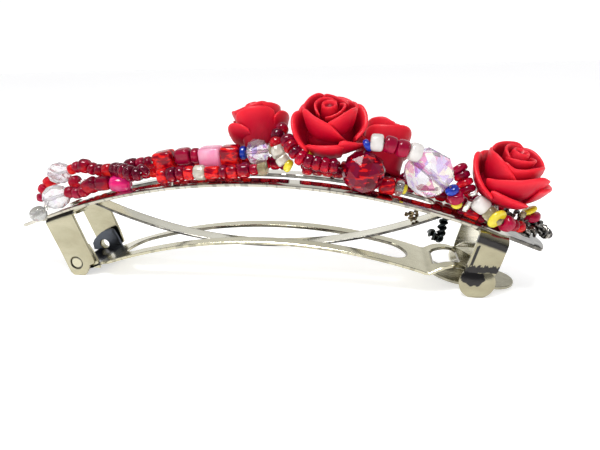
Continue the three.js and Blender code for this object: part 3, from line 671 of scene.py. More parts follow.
def lathe(profile, sides):
    """A closed solid of revolution about Z. A profile that stays off the axis closes on itself."""
    points, faces, rings = [], [], []
    for radius, height in profile:
        if radius < 1e-6:
            rings.append([len(points)])
            points.append((0, 0, height))
        else:
            rings.append(list(range(len(points), len(points) + sides)))
            points.extend((*corner, height) for corner in circle(0, 0, radius, sides))
    pairs = list(zip(rings, rings[1:]))
    if len(rings[0]) > 1 or len(rings[-1]) > 1:
        pairs.append((rings[-1], rings[0]))
    for first, second in pairs:
        for k in range(sides):
            n = (k + 1) % sides
            if len(first) > 1 and len(second) > 1:
                faces.append((first[k], first[n], second[n], second[k]))
            elif len(first) > 1:
                faces.append((first[k], first[n], second[0]))
            elif len(second) > 1:
                faces.append((first[0], second[n], second[k]))
    return np.array(points, float), faces


def build_bow():
    outline = rectangle(BOW_FROM, BOW_TO, BOW_HALF)
    points, faces, blank = sheet_mesh(outline, [], BOW_SHEET, draped(bow_z), 0.6, 0.06)
    # Painted dark reflections along both edges of the strip.
    add_piece("bow", points, faces, "nickel_bow", "nickel", nodes=["tension_bow"],
              values={"painted_shade": (np.abs(blank[:, 1]) > BOW_HALF - 0.1) * 0.7})


def catmull(points, count):
    """Points, tangents and the length of a smooth curve through the given points.

    count is a number of evenly spaced points, or a list of shares of the length."""
    control = np.array(points, float)
    control = np.vstack([2 * control[0] - control[1], control, 2 * control[-1] - control[-2]])
    samples = []
    for a, b, c, d in zip(control, control[1:], control[2:], control[3:]):
        for t in np.linspace(0, 1, 24, endpoint=False):
            samples.append(0.5 * ((2 * b) + (c - a) * t + (2 * a - 5 * b + 4 * c - d) * t * t
                                  + (3 * b - a - 3 * c + d) * t ** 3))
    samples.append(control[-2])
    samples = np.array(samples)
    lengths = np.concatenate([[0], np.cumsum(np.linalg.norm(np.diff(samples, axis=0), axis=1))])
    shares = np.asarray(count, float) if np.ndim(count) else np.linspace(0, 1, count)
    places = shares * lengths[-1]

    def at(distances):
        return np.column_stack([np.interp(distances, lengths, column) for column in samples.T])

    nudge = lengths[-1] * 0.004
    tangents = at(places + nudge) - at(places - nudge)
    tangents /= np.linalg.norm(tangents, axis=1, keepdims=True)
    return at(places), tangents, lengths[-1]


def grid_solid(surface, thickness):
    """A closed shell from a grid of outer points (rows, columns, 3), thickened against its normals."""
    du = np.gradient(surface, axis=1)
    dv = np.gradient(surface, axis=0)
    normal = np.cross(du, dv)
    normal /= np.maximum(np.linalg.norm(normal, axis=2, keepdims=True), 1e-9)
    back = surface - normal * thickness
    rows, columns = surface.shape[:2]
    points = np.vstack([surface.reshape(-1, 3), back.reshape(-1, 3)])
    size = rows * columns
    faces = []
    for r in range(rows - 1):
        for c in range(columns - 1):
            a, e = r * columns + c, (r + 1) * columns + c
            faces.append((a, a + 1, e + 1, e))
            faces.append((e + size, e + 1 + size, a + 1 + size, a + size))
    rim = ([(0, c) for c in range(columns - 1)] + [(r, columns - 1) for r in range(rows - 1)]
           + [(rows - 1, c) for c in range(columns - 1, 0, -1)] + [(r, 0) for r in range(rows - 1, 0, -1)])
    rim = [r * columns + c for r, c in rim]
    for a, b in zip(rim, rim[1:] + rim[:1]):
        faces.append((b, a, a + size, b + size))
    return points, faces


def build_latch():
    outline = rectangle(LATCH_FROM, LATCH_TO, LATCH_WEB_HALF)
    points, faces, _ = sheet_mesh(outline, [rivet_hole(RIVETS[1])], SHEET, draped(under_plate), 0.6)
    add_piece("latch_seat", points, faces, "nickel_satin", "nickel", nodes=["latch_web"])
    rows, columns = 84, 29
    lobe_top = LOBE_Z + 1.2
    shares = 1 - (1 - np.linspace(0, 1, rows)) ** 1.5  # closer together towards the lobe
    # The front leg takes a darker nickel as painted shade and the rear the lighter bow nickel as painted
    # light; the last number scales the painted shade laid on below.
    looks = (("front", -1, "nickel_worn", 1.0), ("rear", 1, "nickel_bow", 0.35))
    for side_name, sign, finish, shade_strength in looks:
        surface, dark = np.zeros((rows, columns, 3)), np.zeros((rows, columns))
        for c, share in enumerate(np.linspace(0, 1, columns)):
            web = float(under_plate(LATCH_FROM + (LATCH_TO - LATCH_FROM) * share))
            path = [(LATCH_WEB_HALF, web), (3.75, web - 0.02), (4.3, web - 0.25), (4.6, web - 0.85),
                    (4.62, -9.5), (4.5, -10.9), (4.28, -11.6), (4.35, -12.3), (4.45, -13.6),
                    (4.4, LOBE_Z - LOBE_RADIUS)]
            line, _, _ = catmull(path, shares)
            for r, (y, z) in enumerate(line):
                drop = min(max((web - 0.5 - z) / 9.0, 0.0), 1.0)
                left = LATCH_FROM - 2.3 * drop
                right = LATCH_TO - 2.2 * drop
                if z < lobe_top:
                    half = math.sqrt(max(LOBE_RADIUS ** 2 - (z - LOBE_Z) ** 2, 0.01))
                    ease = min((lobe_top - z) / 0.5, 1.0)
                    left += (LOBE_X - half - left) * ease
                    right += (LOBE_X + half - right) * ease
                x = left + (right - left) * share
                bulge = max(1 - ((x - LOBE_X) ** 2 + (z - LOBE_Z) ** 2) / LOBE_RADIUS ** 2, 0.0)
                surface[r, c] = (x, sign * (y + 0.55 * bulge), z)
                # Painted dark reflections and shade: just under the bend, a streak down the left flank, a
                # jagged band across the leg and a patch on the lobe.
                fold = 1.1 * near(z - web + 1.0, 0.5)
                flank = 0.8 * (0.2 < x - left < 0.55) * (-10.4 < z < -7.6)
                band_wobble = 0.12 * math.sin(x * 7) + 0.12 * math.sin(x * 19 + 1)
                band = -11.55 < z < -10.45 + band_wobble
                patch = (x - 30.1) ** 2 / 1.9 + (z + 12.35 + 0.12 * math.sin(x * 7)) ** 2 / 0.85 < 1
                dark[r, c] = max(fold, flank, band, patch) * shade_strength
        if sign > 0:
            surface, dark = surface[:, ::-1], dark[:, ::-1]
        points, faces = grid_solid(surface, SHEET)
        points[:, 2] = np.maximum(points[:, 2], STAND_Z)
        bend = (f"latch_{side_name}", (32, sign * 3.1, -7.0), (32, sign * 4.4, -8.6))
        add_piece(f"latch_spring_{side_name}", points, faces, finish, "nickel", blend=bend, sharp=45,
                  nodes=[f"latch_leg_{side_name}"], values={"painted_shade": np.tile(dark.ravel(), 2)})


# ---------------------------------------------------------------- beads
def bead_mesh(radius, length, square, soft, hole=0.3, sides=24, arcs=10):
    """A drilled bead about Z: soft is its shoulders' roundness, square the exponent of its section."""
    profile = []
    for k in range(arcs + 1):
        angle = math.pi * (k / arcs - 0.5)
        across = abs(math.cos(angle)) ** soft
        along = math.copysign(abs(math.sin(angle)) ** soft, angle)
        profile.append((across, along * length / 2))
    bore = radius * hole
    points, faces = [], []
    for k in range(sides):
        phi = 2 * math.pi * k / sides
        spread = (abs(math.cos(phi)) ** square + abs(math.sin(phi)) ** square) ** (-1 / square)
        for across, height in profile:
            r = bore + (radius * spread - bore) * across
            points.append((r * math.cos(phi), r * math.sin(phi), height))
    size = len(profile)
    for k in range(sides):
        n = (k + 1) % sides
        for j in range(size):
            m = (j + 1) % size
            faces.append((k * size + j, n * size + j, n * size + m, k * size + m))
    return np.array(points), faces


def crystal_mesh(radius, length, sides):
    """A faceted, drilled crystal: rings of corners turned by half a step, joined by triangles."""
    rings = [(-0.5, 0.42), (-0.37, 0.79), (-0.13, 0.99), (0.13, 0.99), (0.37, 0.79), (0.5, 0.42)]
    points, faces = [], []
    for index, (height, share) in enumerate(rings):
        for k in range(sides):
            phi = 2 * math.pi * (k + 0.5 * (index % 2)) / sides
            points.append((radius * share * math.cos(phi), radius * share * math.sin(phi), height * length))
    for index in range(len(rings) - 1):
        low, high = index * sides, (index + 1) * sides
        for k in range(sides):
            n = (k + 1) % sides
            if index % 2 == 0:
                faces.append((low + k, low + n, high + k))
                faces.append((low + n, high + n, high + k))
            else:
                faces.append((low + k, low + n, high + n))
                faces.append((low + k, high + n, high + k))
    start = len(points)
    bore = radius * 0.13
    for height in (-0.5, 0.5):
        for k in range(sides):
            phi = 2 * math.pi * k / sides
            points.append((bore * math.cos(phi), bore * math.sin(phi), height * length))
    top_start = (len(rings) - 1) * sides
    for k in range(sides):
        n = (k + 1) % sides
        faces.append((start + k, start + n, n, k))
        faces.append((start + sides + k, start + sides + n, start + n, start + k))
        faces.append((top_start + k, top_start + n, start + sides + n, start + sides + k))
    return np.array(points), faces


def aligned(points, centre, along, roll):
    """Turns a shape made about Z so that Z lies along the given direction, and moves it to centre."""
    axis = np.array(along, float)
    axis /= np.linalg.norm(axis)
    across = np.cross((0.0, 0.0, 1.0), axis)
    across /= np.linalg.norm(across)
    third = np.cross(axis, across)
    c, s = math.cos(roll), math.sin(roll)
    first = across * c + third * s
    second = third * c - across * s
    return points @ np.array([first, second, axis]) + np.array(centre, float)


# what each kind of bead is: material, record slot, section exponent, shoulder roundness, lined bore
KINDS = {
    "red": ("glass_red", "glass_red", 2.1, 0.66, False),
    "orange": ("glass_orange", "glass_red", 2.1, 0.66, False),
    "lined": ("glass_foiled", "glass_red", 3.2, 0.5, True),
    "bugle": ("glass_foiled", "glass_dark_red", 2.0, 0.3, True),
    "dark": ("glass_dark_red", "glass_dark_red", 2.1, 0.66, False),
    "darkcube": ("glass_dark_red", "glass_dark_red", 3.6, 0.45, False),
    "crimson": ("glass_crimson", "glass_crimson", 2.3, 0.6, False),
    "magenta": ("glass_magenta", "glass_pink", 2.4, 0.6, False),
    "pink": ("glass_pink", "glass_pink", 4.0, 0.4, False),
    "pearl": ("glass_pearl", "glass_clear", 3.0, 0.5, False),
    "white": ("glass_white", "glass_white", 2.4, 0.55, False),
    "yellow": ("glass_yellow", "glass_yellow", 2.0, 0.8, False),
    "blue": ("glass_blue", "glass_blue", 2.0, 0.7, False),
    "clear": ("glass_clear", "glass_clear", 2.0, 0.8, False),
    "clearcube": ("glass_topaz", "glass_clear", 4.0, 0.4, False),
    "topaz": ("glass_topaz", "glass_topaz", 3.5, 0.45, False),
}


def lining(length, bore):
    return bead_mesh(bore * 1.35, length * 0.9, 4.0, 0.15, 0.75, 16, 4)


def build_strand(name, route, beads, seed):
    """Beads threaded on a wire along a route; each colour of bead is one piece."""
    draw = random.Random(seed)
    total = sum(length for length, _, _ in beads)
    starts = np.concatenate([[0], np.cumsum([length for length, _, _ in beads])])[:-1]
    middles = [(start + bead[0] / 2) / total for start, bead in zip(starts, beads)]
    centres, tangents, run = catmull(route, np.array(middles))
    batches, linings = {}, Batch()
    for (length, radius, kind), centre, tangent in zip(beads, centres, tangents):
        _, _, square, soft, lined = KINDS[kind]
        length *= run / total * 1.02
        radius *= draw.uniform(0.95, 1.04)
        tilt = np.array([draw.uniform(-0.08, 0.08) for _ in range(3)])
        roll = draw.uniform(-0.25, 0.25) if square > 3 else draw.uniform(0, 6.28)
        points, faces = bead_mesh(radius, length, square, soft)
        batch = batches.setdefault(kind, Batch())
        batch.add(aligned(points, centre, tangent + tilt, roll), faces, draw.uniform(0.15, 0.85))
        if lined:
            points, faces = lining(length, radius * 0.3)
            linings.add(aligned(points, centre, tangent + tilt, roll), faces)
    for kind, batch in batches.items():
        material, slot, _, _, _ = KINDS[kind]
        batch.piece(f"{name}_{kind}", material, slot, nodes=[name])
    if linings.count:
        linings.piece(f"{name}_lining", "bead_lining", "craft_wire")
    points, faces = tube(route, 0.13, 0, max(10, int(run * 2)))
    add_piece(f"{name}_thread", points, faces, "wire_silver", "craft_wire")


def tube(route, radius, twists, steps, sides=8, flat=1.0):
    """Round wire along a route; with twists, two strands wound round each other."""
    centres, tangents, _ = catmull(route, steps)
    first = np.cross(tangents[0], (0.3, 0.2, 1.0))
    first /= np.linalg.norm(first)
    frames = []
    for tangent in tangents:
        first = first - tangent * np.dot(first, tangent)
        first /= np.linalg.norm(first)
        frames.append((first, np.cross(tangent, first)))
    strands = [0.0] if not twists else [0.0, math.pi]
    points, faces = [], []
    for phase in strands:
        base = len(points)
        for i, (centre, (u, v)) in enumerate(zip(centres, frames)):
            turn = phase + 2 * math.pi * twists * i / (steps - 1)
            offset = (u * math.cos(turn) + v * math.sin(turn)) * radius * (0.95 if twists else 0.0)
            for across, along in circle(0, 0, radius, sides):
                points.append(centre + offset + u * across + v * flat * along)
        for i in range(steps - 1):
            for k in range(sides):
                n = (k + 1) % sides
                a, b = base + i * sides, base + (i + 1) * sides
                faces.append((a + k, a + n, b + n, b + k))
        faces.append(tuple(base + k for k in reversed(range(sides))))
        faces.append(tuple(base + (steps - 1) * sides + k for k in range(sides)))
    return np.array(points), faces


def along_plate(x0, x1, y, height):
    steps = max(2, round(abs(x1 - x0) / 4))
    return [(x, y, float(plate_z(x)) + height) for x in np.linspace(x0, x1, steps + 1)]


def row(kinds, length, radius):
    return [(length, radius, kind) for kind in kinds.split()]


def build_strands():
    build_strand("strand_left_top", [
        (-28.75, -1.2, 0.6), (-26.4, -1.1, 1.3), (-24.1, -1.2, 0.75), (-20.8, -1.6, 0.9),
        (-19.2, -2.6, 1.0), (-17.5, -3.4, 0.8), (-16.3, -3.4, 0.8), (-15.6, -2.6, 1.5)],
        [(0.9, 0.8, "orange"), (1.0, 0.9, "red"), (1.5, 1.15, "dark"), (1.1, 0.95, "red"),
         (1.2, 0.95, "dark"), (1.5, 0.98, "orange"), (1.4, 1.05, "dark"), *row("dark dark dark", 1.1, 1.1),
         (1.1, 1.05, "dark"), (1.0, 1.0, "dark")], 11)
    build_strand("strand_left_cross", [(-20.3, 0.4, 0.7), (-18.2, 0.3, 1.3), (-15.9, 0.2, 1.7)],
                 [(2.0, 1.25, "dark"), (1.2, 1.0, "crimson"), (1.2, 1.0, "dark")], 12)
    build_strand("strand_left_front", [
        (-28.4, -3.3, -2.1), (-26.9, -3.3, -2.3), (-25.5, -3.3, -2.0), (-24.2, -3.2, -1.0),
        (-22.2, -3.0, -0.8), (-19.9, -2.4, -1.0), (-18.5, -2.2, -0.95)],
        [(1.2, 0.9, "red"), (1.1, 0.9, "crimson"), (1.1, 0.9, "red"), (2.0, 1.05, "darkcube"),
         (1.9, 1.0, "darkcube"), (2.9, 1.15, "magenta")], 13)
    build_strand("strand_left_end", [
        (-32.2, 1.0, -0.8), (-33.8, 0.4, -1.9), (-34.7, 0.0, -3.1), (-34.8, -0.3, -4.7)],
        row("orange orange red crimson", 1.25, 1.05), 14)
    build_strand("strand_left_middle", along_plate(-31.5, -21.1, 0.5, 1.9),
                 row("dark red dark lined dark red dark dark", 1.3, 0.9), 15)
    build_strand("strand_left_rear", along_plate(-31.5, -15.2, 2.9, 1.4),
                 row("red dark red orange dark red lined red dark red orange red", 1.35, 1.05), 16)
    build_strand("strand_middle_front", [
        (-13.6, -3.1, 0.4), (-8.8, -3.1, 0.95), (-3.7, -3.1, 1.15), (2.3, -3.1, 1.75)],
        [(1.45, 1.05, "lined"), (1.35, 1.1, "dark"), (1.2, 1.05, "dark"), (1.45, 1.0, "lined"),
         (1.6, 0.95, "pearl"), (2.1, 0.95, "lined"), (1.1, 1.0, "dark"), (1.45, 1.0, "lined"),
         (1.7, 1.05, "dark"), (1.2, 0.8, "red"), (1.2, 0.85, "clearcube")], 17)
    build_strand("strand_middle_rear", along_plate(-14.2, 4.4, 2.4, 1.45),
                 row("dark red dark lined dark dark red dark lined dark red dark dark", 1.4, 1.05), 18)
    build_strand("strand_rose_left", [
        (4.3, 0.2, 6.8), (3.6, -0.9, 6.3), (3.5, -2.1, 4.95), (3.9, -2.8, 3.8), (4.7, -3.1, 2.6),
        (5.7, -3.2, 1.9)],
        [(1.2, 0.95, "dark"), (1.2, 0.95, "dark"), (1.2, 0.95, "orange"), (1.4, 0.95, "pearl"),
         (1.1, 0.95, "pearl"), (1.0, 0.9, "yellow")], 19)
    build_strand("strand_rose_centre", [
        (5.0, -2.6, 5.8), (5.6, -3.5, 5.0), (6.4, -4.2, 4.2), (7.4, -4.6, 3.4), (8.8, -4.7, 2.95),
        (10.4, -4.7, 2.65), (12.0, -4.5, 2.5)],
        row("dark dark dark red dark dark red dark", 1.15, 1.0), 20)
    build_strand("strand_rose_behind", [
        (15.4, -3.4, 4.8), (16.5, -3.5, 5.35), (18.2, -3.5, 5.2), (20.2, -3.4, 4.6), (22.5, -3.2, 3.9)],
        [(0.9, 0.9, "blue"), (1.8, 1.1, "white"), (1.8, 1.1, "crimson"), (1.8, 1.1, "crimson"),
         (1.8, 1.15, "white")], 21)
    build_strand("strand_crystal_left", [(17.4, -2.0, -0.5), (19.3, -2.1, -0.75), (20.6, -2.2, -1.0)],
                 [(2.0, 1.15, "lined"), (1.0, 1.1, "clear")], 22)
    build_strand("strand_crystal_right", [(26.3, -4.2, -0.1), (27.1, -3.9, -1.6), (27.4, -3.4, -2.9)],
                 [(1.0, 0.85, "blue"), (1.5, 1.0, "crimson"), (0.8, 0.75, "yellow")], 23)
    build_strand("strand_right_reds", [
        (27.5, -0.8, 1.9), (28.0, -1.3, 0.9), (28.5, -1.8, -0.3), (28.9, -2.2, -1.4)],
        row("crimson dark red dark", 1.05, 1.1), 24)
    build_strand("strand_right_bugle", [(27.8, -2.6, -3.4), (29.5, -2.8, -4.1), (31.2, -2.9, -4.7)],
                 [(1.2, 0.6, "dark"), (2.4, 0.58, "bugle"), (1.2, 0.6, "dark")], 29)
    build_strand("strand_right_front", [
        (29.6, -3.3, -2.0), (31.0, -3.6, -3.1), (31.9, -4.1, -3.9), (32.8, -4.5, -4.4), (34.0, -4.0, -4.9),
        (35.9, -3.0, -5.6)],
        [(1.9, 1.05, "white"), (1.5, 0.95, "topaz"), (0.8, 0.6, "topaz"), (1.4, 1.02, "crimson"),
         (1.0, 0.8, "red"), (1.0, 0.78, "orange")], 25)
    build_strand("strand_right_end", [(36.9, -0.9, -3.6), (37.4, -1.0, -4.5), (37.6, -1.0, -5.3)],
                 [(0.9, 1.05, "yellow"), (1.2, 1.1, "crimson")], 26)
    build_strand("strand_right_middle", along_plate(6.5, 35.0, 1.0, 1.05),
                 row("red dark red dark lined dark red dark red red "
                     "dark lined red dark red dark red red dark red", 1.45, 0.8), 27)
    build_strand("strand_right_rear", along_plate(6.0, 35.5, 3.05, 1.4),
                 row("dark red dark red lined dark red dark dark red dark "
                     "lined red dark red dark red dark red dark red", 1.45, 1.0), 28)


FACET_SEED = 3  # every crystal draws the shades of its facets from it


def build_single_beads():
    def one(name, kind, centre, along, radius, length, roll=0.0, square=None, soft=None):
        material, slot, kind_square, kind_soft, lined = KINDS[kind]
        square = square or kind_square
        soft = soft or kind_soft
        points, faces = bead_mesh(radius, length, square, soft, sides=36, arcs=14)
        batch = Batch()
        batch.add(aligned(points, centre, along, roll), faces, 0.5)
        batch.piece(f"{name}_glass", material, slot, nodes=[name])
        if lined:
            batch = Batch()
            points, faces = lining(length, radius * 0.42)
            batch.add(aligned(points, centre, along, roll), faces)
            batch.piece(f"{name}_lining", "bead_lining", "craft_wire")

    one("bead_red_left", "red", (-27.9, -1.5, -1.05), (1, 0, 0.2), 0.95, 1.6)
    one("cube_red_left", "lined", (-13.4, -0.7, 2.2), (1, 0, 0.18), 1.4, 2.9, 0.1, 5.0, 0.35)
    one("cube_crimson", "crimson", (-10.5, -0.7, 2.85), (1, 0, 0.1), 1.15, 2.2, 0.1, 4.0, 0.5)
    one("seed_crimson", "crimson", (-8.65, -0.7, 2.95), (1, 0, 0.05), 1.1, 1.1)
    one("cube_pink", "pink", (-6.3, -0.7, 2.8), (1, 0, 0.05), 1.5, 3.2, 0.05, 5.0, 0.35)
    one("cube_red_right", "lined", (-3.4, -0.7, 3.0), (1, 0, 0.02), 1.45, 2.6, 0.05, 5.0, 0.35)
    one("seed_blue", "blue", (-1.6, -0.7, 3.4), (1, 0, 0.02), 0.95, 0.8, 0, 2.0, 0.5)
    one("bead_topaz", "topaz", (2.55, -0.5, 3.9), (1, -0.1, 0.1), 0.8, 0.9, 0, 2.0, 0.8)

    def crystal(name, look, slot, centre, along, radius, length, sides):
        points, faces = crystal_mesh(radius, length, sides)
        piece = add_piece(f"{name}_cut", aligned(points, centre, along, 0.2), faces, f"crystal_{look}",
                          f"glass_{slot}", nodes=[name], sharp=5)
        draw = random.Random(FACET_SEED)
        facets = piece.data.attributes.new("facet", "FLOAT", "FACE")
        facets.data.foreach_set("value", [draw.random() for _ in piece.data.polygons])

    crystal("crystal_end_upper", "clear", "clear", (-30.6, -1.0, 0.1), (1, 0, 0.2), 1.65, 3.2, 8)
    crystal("crystal_end_lower", "clear", "clear", (-30.4, -3.0, -3.1), (1, 0, 0.3), 1.85, 3.6, 8)
    crystal("crystal_aurora_small", "aurora", "aurora", (0.5, -0.7, 3.55), (1, 0, 0.1), 1.85, 3.0, 10)
    crystal("crystal_aurora_large", "aurora", "aurora", (23.8, -1.5, 1.1), (0.75, -0.25, -0.6), 3.15, 6, 8)
    crystal("bead_faceted_red", "red", "red", (15.3, -3.7, 1.6), (1, 0, -0.3), 2.75, 5.2, 10)
    crystal("wrap_bead_right", "clear", "clear", (38.0, -0.6, -6.35), (1, 0, -0.35), 0.85, 1.6, 8)
    one("strand_right_front", "yellow", (32.2, -4.75, -4.0), (0.5, -0.75, -0.4), 1.35, 0.8)
    one("strand_rose_centre", "yellow", (8.0, -2.9, 3.7), (0.9, 0.2, 0.3), 0.75, 0.9)
    one("strand_crystal_left", "yellow", (20.7, -2.0, -1.1), (1, 0, -0.3), 0.7, 0.8)
    one("strand_right_end", "topaz", (35.9, -2.6, -4.0), (1, 0, -0.3), 0.42, 0.6)
    one("tongue_bead_left", "clear", (-32.0, -5.45, -4.97), (0.9, 0, 0.4), 1.1, 2.2, 0, 2.0, 0.95)


# ---------------------------------------------------------------- roses
def petal_mesh(stations, foot_r, foot_z, thickness, flare):
    """One thick petal about Z. stations are (azimuth in degrees, rim radius, rim height) along its lip, and
    its foot has one radius and height. Returns points, faces and how near each point is to the lip."""
    columns, belly = 26, 2.2

    def side(radius, height, t):
        r = foot_r + (radius - foot_r) * (1 - (1 - t) ** belly) + flare * max(0, (t - 0.7) / 0.3) ** 2
        return r, height - foot_z

    stations = np.array(stations, float)
    azimuths = np.linspace(stations[0, 0], stations[-1, 0], columns)
    spline, _, _ = catmull(stations * (0.05, 1, 1), 240)
    spline[:, 0] /= 0.05
    rim_r = np.interp(azimuths, spline[:, 0], spline[:, 1])
    rim_z = np.interp(azimuths, spline[:, 0], spline[:, 2])
    up = [0.0, 0.3, 0.55, 0.75, 0.88, 0.96]
    points, lips = [], []
    for index, (azimuth, radius, height) in enumerate(zip(azimuths, rim_r, rim_z)):
        share = index / (columns - 1)
        ends = min(share, 1 - share)
        fat = thickness * (0.35 + 0.65 * math.sqrt(min(ends / 0.08, 1.0)))
        # Lip values fall towards the foot, and further on the inner side: painted shade low down and inside
        # the cup.
        loop = []
        for t in up:
            r, rise = side(radius, height, t)
            loop.append((r, foot_z + rise * t, t ** 2))
        lip_r = radius + flare
        loop.append((lip_r - 0.18 * fat, height + 0.16 * fat, 1.0))
        loop.append((lip_r - 0.5 * fat, height + 0.24 * fat, 1.0))
        loop.append((lip_r - 0.82 * fat, height + 0.12 * fat, 0.95))
        for t in reversed(up):
            r, rise = side(radius, height, t)
            loop.append((r - fat * (0.75 + 0.25 * t), foot_z + rise * t * 0.97, 0.75 * t ** 3))
        phi = math.radians(azimuth)
        for r, z, lip in loop:
            r = max(r, 0.15)
            points.append((r * math.cos(phi), r * math.sin(phi), z))
            lips.append(lip)
    size = len(loop)
    faces = []
    for c in range(columns - 1):
        for k in range(size):
            n = (k + 1) % size
            faces.append((c * size + k, c * size + n, (c + 1) * size + n, (c + 1) * size + k))
    for start, order in ((0, 1), ((columns - 1) * size, -1)):
        half = size // 2
        ring = [start + k for k in range(size)]
        for k in range(half):
            quad = (ring[k], ring[k + 1], ring[size - 2 - k], ring[size - 1 - k])
            faces.append(tuple(dict.fromkeys(quad if order > 0 else reversed(quad))))
    return np.array(points), faces, lips


# how petals are built: radius and height of the foot, thickness, how far the lip rolls out
WRAP = (1.2, 0.2, 0.42, 0.1)
CUP = (2.3, -1.6, 0.5, 0.15)
SLIM_CUP = (2.3, -1.6, 0.5, 0.12)
LOW_CUP = (2.4, -1.8, 0.5, 0.15)
OPEN = (2.8, -2.4, 0.8, 0.35)
THIN_OPEN = (2.8, -2.4, 0.7, 0.3)
SMALL_WRAP = (1.0, 0.2, 0.4, 0.1)
HIGH_OPEN = (2.8, -2.3, 0.8, 0.35)
BACK_OPEN = (2.9, -2.6, 0.6, 0.2)
CENTRE_PETALS = [
    # the bud's two wraps
    ([(60, 1.75, 2.5), (100, 1.9, 3.0), (150, 1.95, 3.15), (195, 1.95, 3.0), (232, 1.9, 2.4)], WRAP),
    ([(255, 1.8, 2.2), (295, 1.95, 2.55), (335, 2.1, 2.9), (375, 2.1, 2.8), (410, 1.9, 2.3)], WRAP),
    # the cup: four upright petals, each lip running down under the next
    ([(266, 3.1, 2.1), (281, 3.15, 2.55), (297, 3.2, 2.9), (311, 3.25, 3.2), (330, 3.4, 3.3),
      (350, 3.5, 2.9), (365, 3.5, 2.2)], CUP),
    ([(35, 3.3, 1.7), (50, 3.3, 1.9), (77, 3.3, 2.25), (95, 3.25, 2.6), (106, 3.2, 2.7), (116, 3.1, 2.3)],
     CUP),
    ([(98, 3.25, 2.0), (108, 3.3, 2.6), (120, 3.35, 3.0), (140, 3.4, 3.0), (158, 3.4, 2.85),
      (178, 3.4, 2.8), (200, 3.4, 2.5)], CUP),
    ([(-18, 3.45, 2.3), (0, 3.6, 2.65), (20, 3.6, 2.5), (40, 3.5, 2.1), (62, 3.3, 1.6)], CUP),
    ([(202, 3.55, 2.9), (212, 3.65, 3.5), (222, 3.6, 3.65), (235, 3.55, 3.3), (250, 3.5, 2.95),
      (265, 3.5, 2.55), (278, 3.5, 2.0), (291, 3.5, 1.0), (303, 3.5, -0.1), (313, 3.5, -0.8)],
      (2.4, -2.0, 0.5, 0.12)),
    # the outer ring: low, opened, thick
    ([(40, 4.4, 0.6), (60, 4.7, 1.1), (85, 4.8, 1.2), (110, 4.6, 0.6)], OPEN),
    ([(95, 4.4, 0.5), (120, 4.7, 1.1), (145, 4.7, 1.3), (165, 4.5, 0.9)], OPEN),
    ([(322, 4.3, -0.4), (338, 4.6, 0.1), (352, 4.75, 0.3), (368, 4.75, 0.9), (388, 4.6, 1.4),
      (405, 4.3, 1.2)], OPEN),
    ([(158, 4.4, 1.1), (175, 4.75, 1.5), (192, 5.0, 1.2), (207, 5.1, 0.4), (222, 5.05, -0.6),
      (236, 4.85, -1.4)], (3.1, -2.9, 0.8, 0.35)),
    ([(288, 4.3, -0.2), (298, 4.6, 0.1), (310, 4.85, -0.3), (322, 5.0, -0.9), (334, 5.0, -1.5)],
     (3.1, -3.1, 0.8, 0.3)),
    ([(228, 4.4, -1.0), (240, 4.65, -0.6), (255, 4.75, -0.3), (270, 4.75, -0.2), (285, 4.65, -0.3),
      (298, 4.3, -0.7)], (3.3, -3.3, 0.8, 0.3)),
]
LEFT_PETALS = [
    ([(60, 1.75, 2.6), (100, 1.9, 3.0), (150, 1.95, 3.1), (195, 1.95, 2.9), (232, 1.9, 2.4)], WRAP),
    # behind, the tallest
    ([(25, 2.5, 2.9), (50, 2.6, 3.5), (80, 2.6, 3.8), (110, 2.6, 3.8), (140, 2.6, 3.5), (165, 2.5, 3.0)],
     (2.0, -1.6, 0.5, 0.12)),
    ([(165, 2.9, 1.9), (180, 3.0, 2.6), (200, 3.1, 2.8), (225, 3.1, 2.4), (250, 3.1, 2.2), (280, 3.1, 2.2),
      (310, 3.1, 2.3), (330, 3.0, 2.1)], CUP),
    ([(20, 3.4, 1.7), (55, 3.5, 2.2), (90, 3.5, 2.4), (125, 3.4, 2.3), (155, 3.3, 2.0), (185, 3.3, 1.7)],
     LOW_CUP),
    # in front, one wide smooth barrel with a rolled lip
    ([(226, 3.4, 0.9), (236, 3.6, 1.5), (252, 3.7, 1.7), (272, 3.75, 1.7), (292, 3.8, 1.45),
      (312, 3.8, 1.1), (326, 3.75, 0.5)], (3.5, -3.9, 0.6, 0.22)),
    ([(306, 3.4, 1.9), (325, 3.6, 1.8), (350, 3.8, 1.5), (375, 3.8, 1.5), (400, 3.6, 1.6)],
     (2.6, -2.0, 0.5, 0.2)),
    # the low outer ring
    ([(192, 4.2, -1.2), (203, 4.5, -0.1), (216, 4.6, 0.5), (230, 4.5, 0.5), (245, 4.2, -0.1),
      (258, 3.9, -1.2)], (2.9, -2.6, 0.55, 0.1)),
    ([(316, 4.0, -0.6), (332, 4.4, 0.1), (350, 4.6, 0.0), (370, 4.5, -0.4), (395, 4.2, -0.8)],
     (2.9, -2.5, 0.7, 0.3)),
    ([(30, 4.3, -0.4), (60, 4.5, 0.4), (90, 4.5, 0.7), (120, 4.3, 0.2)], THIN_OPEN),
    ([(110, 4.3, 0.2), (135, 4.5, 0.8), (160, 4.5, 0.6), (190, 4.3, -0.2)], THIN_OPEN),
]
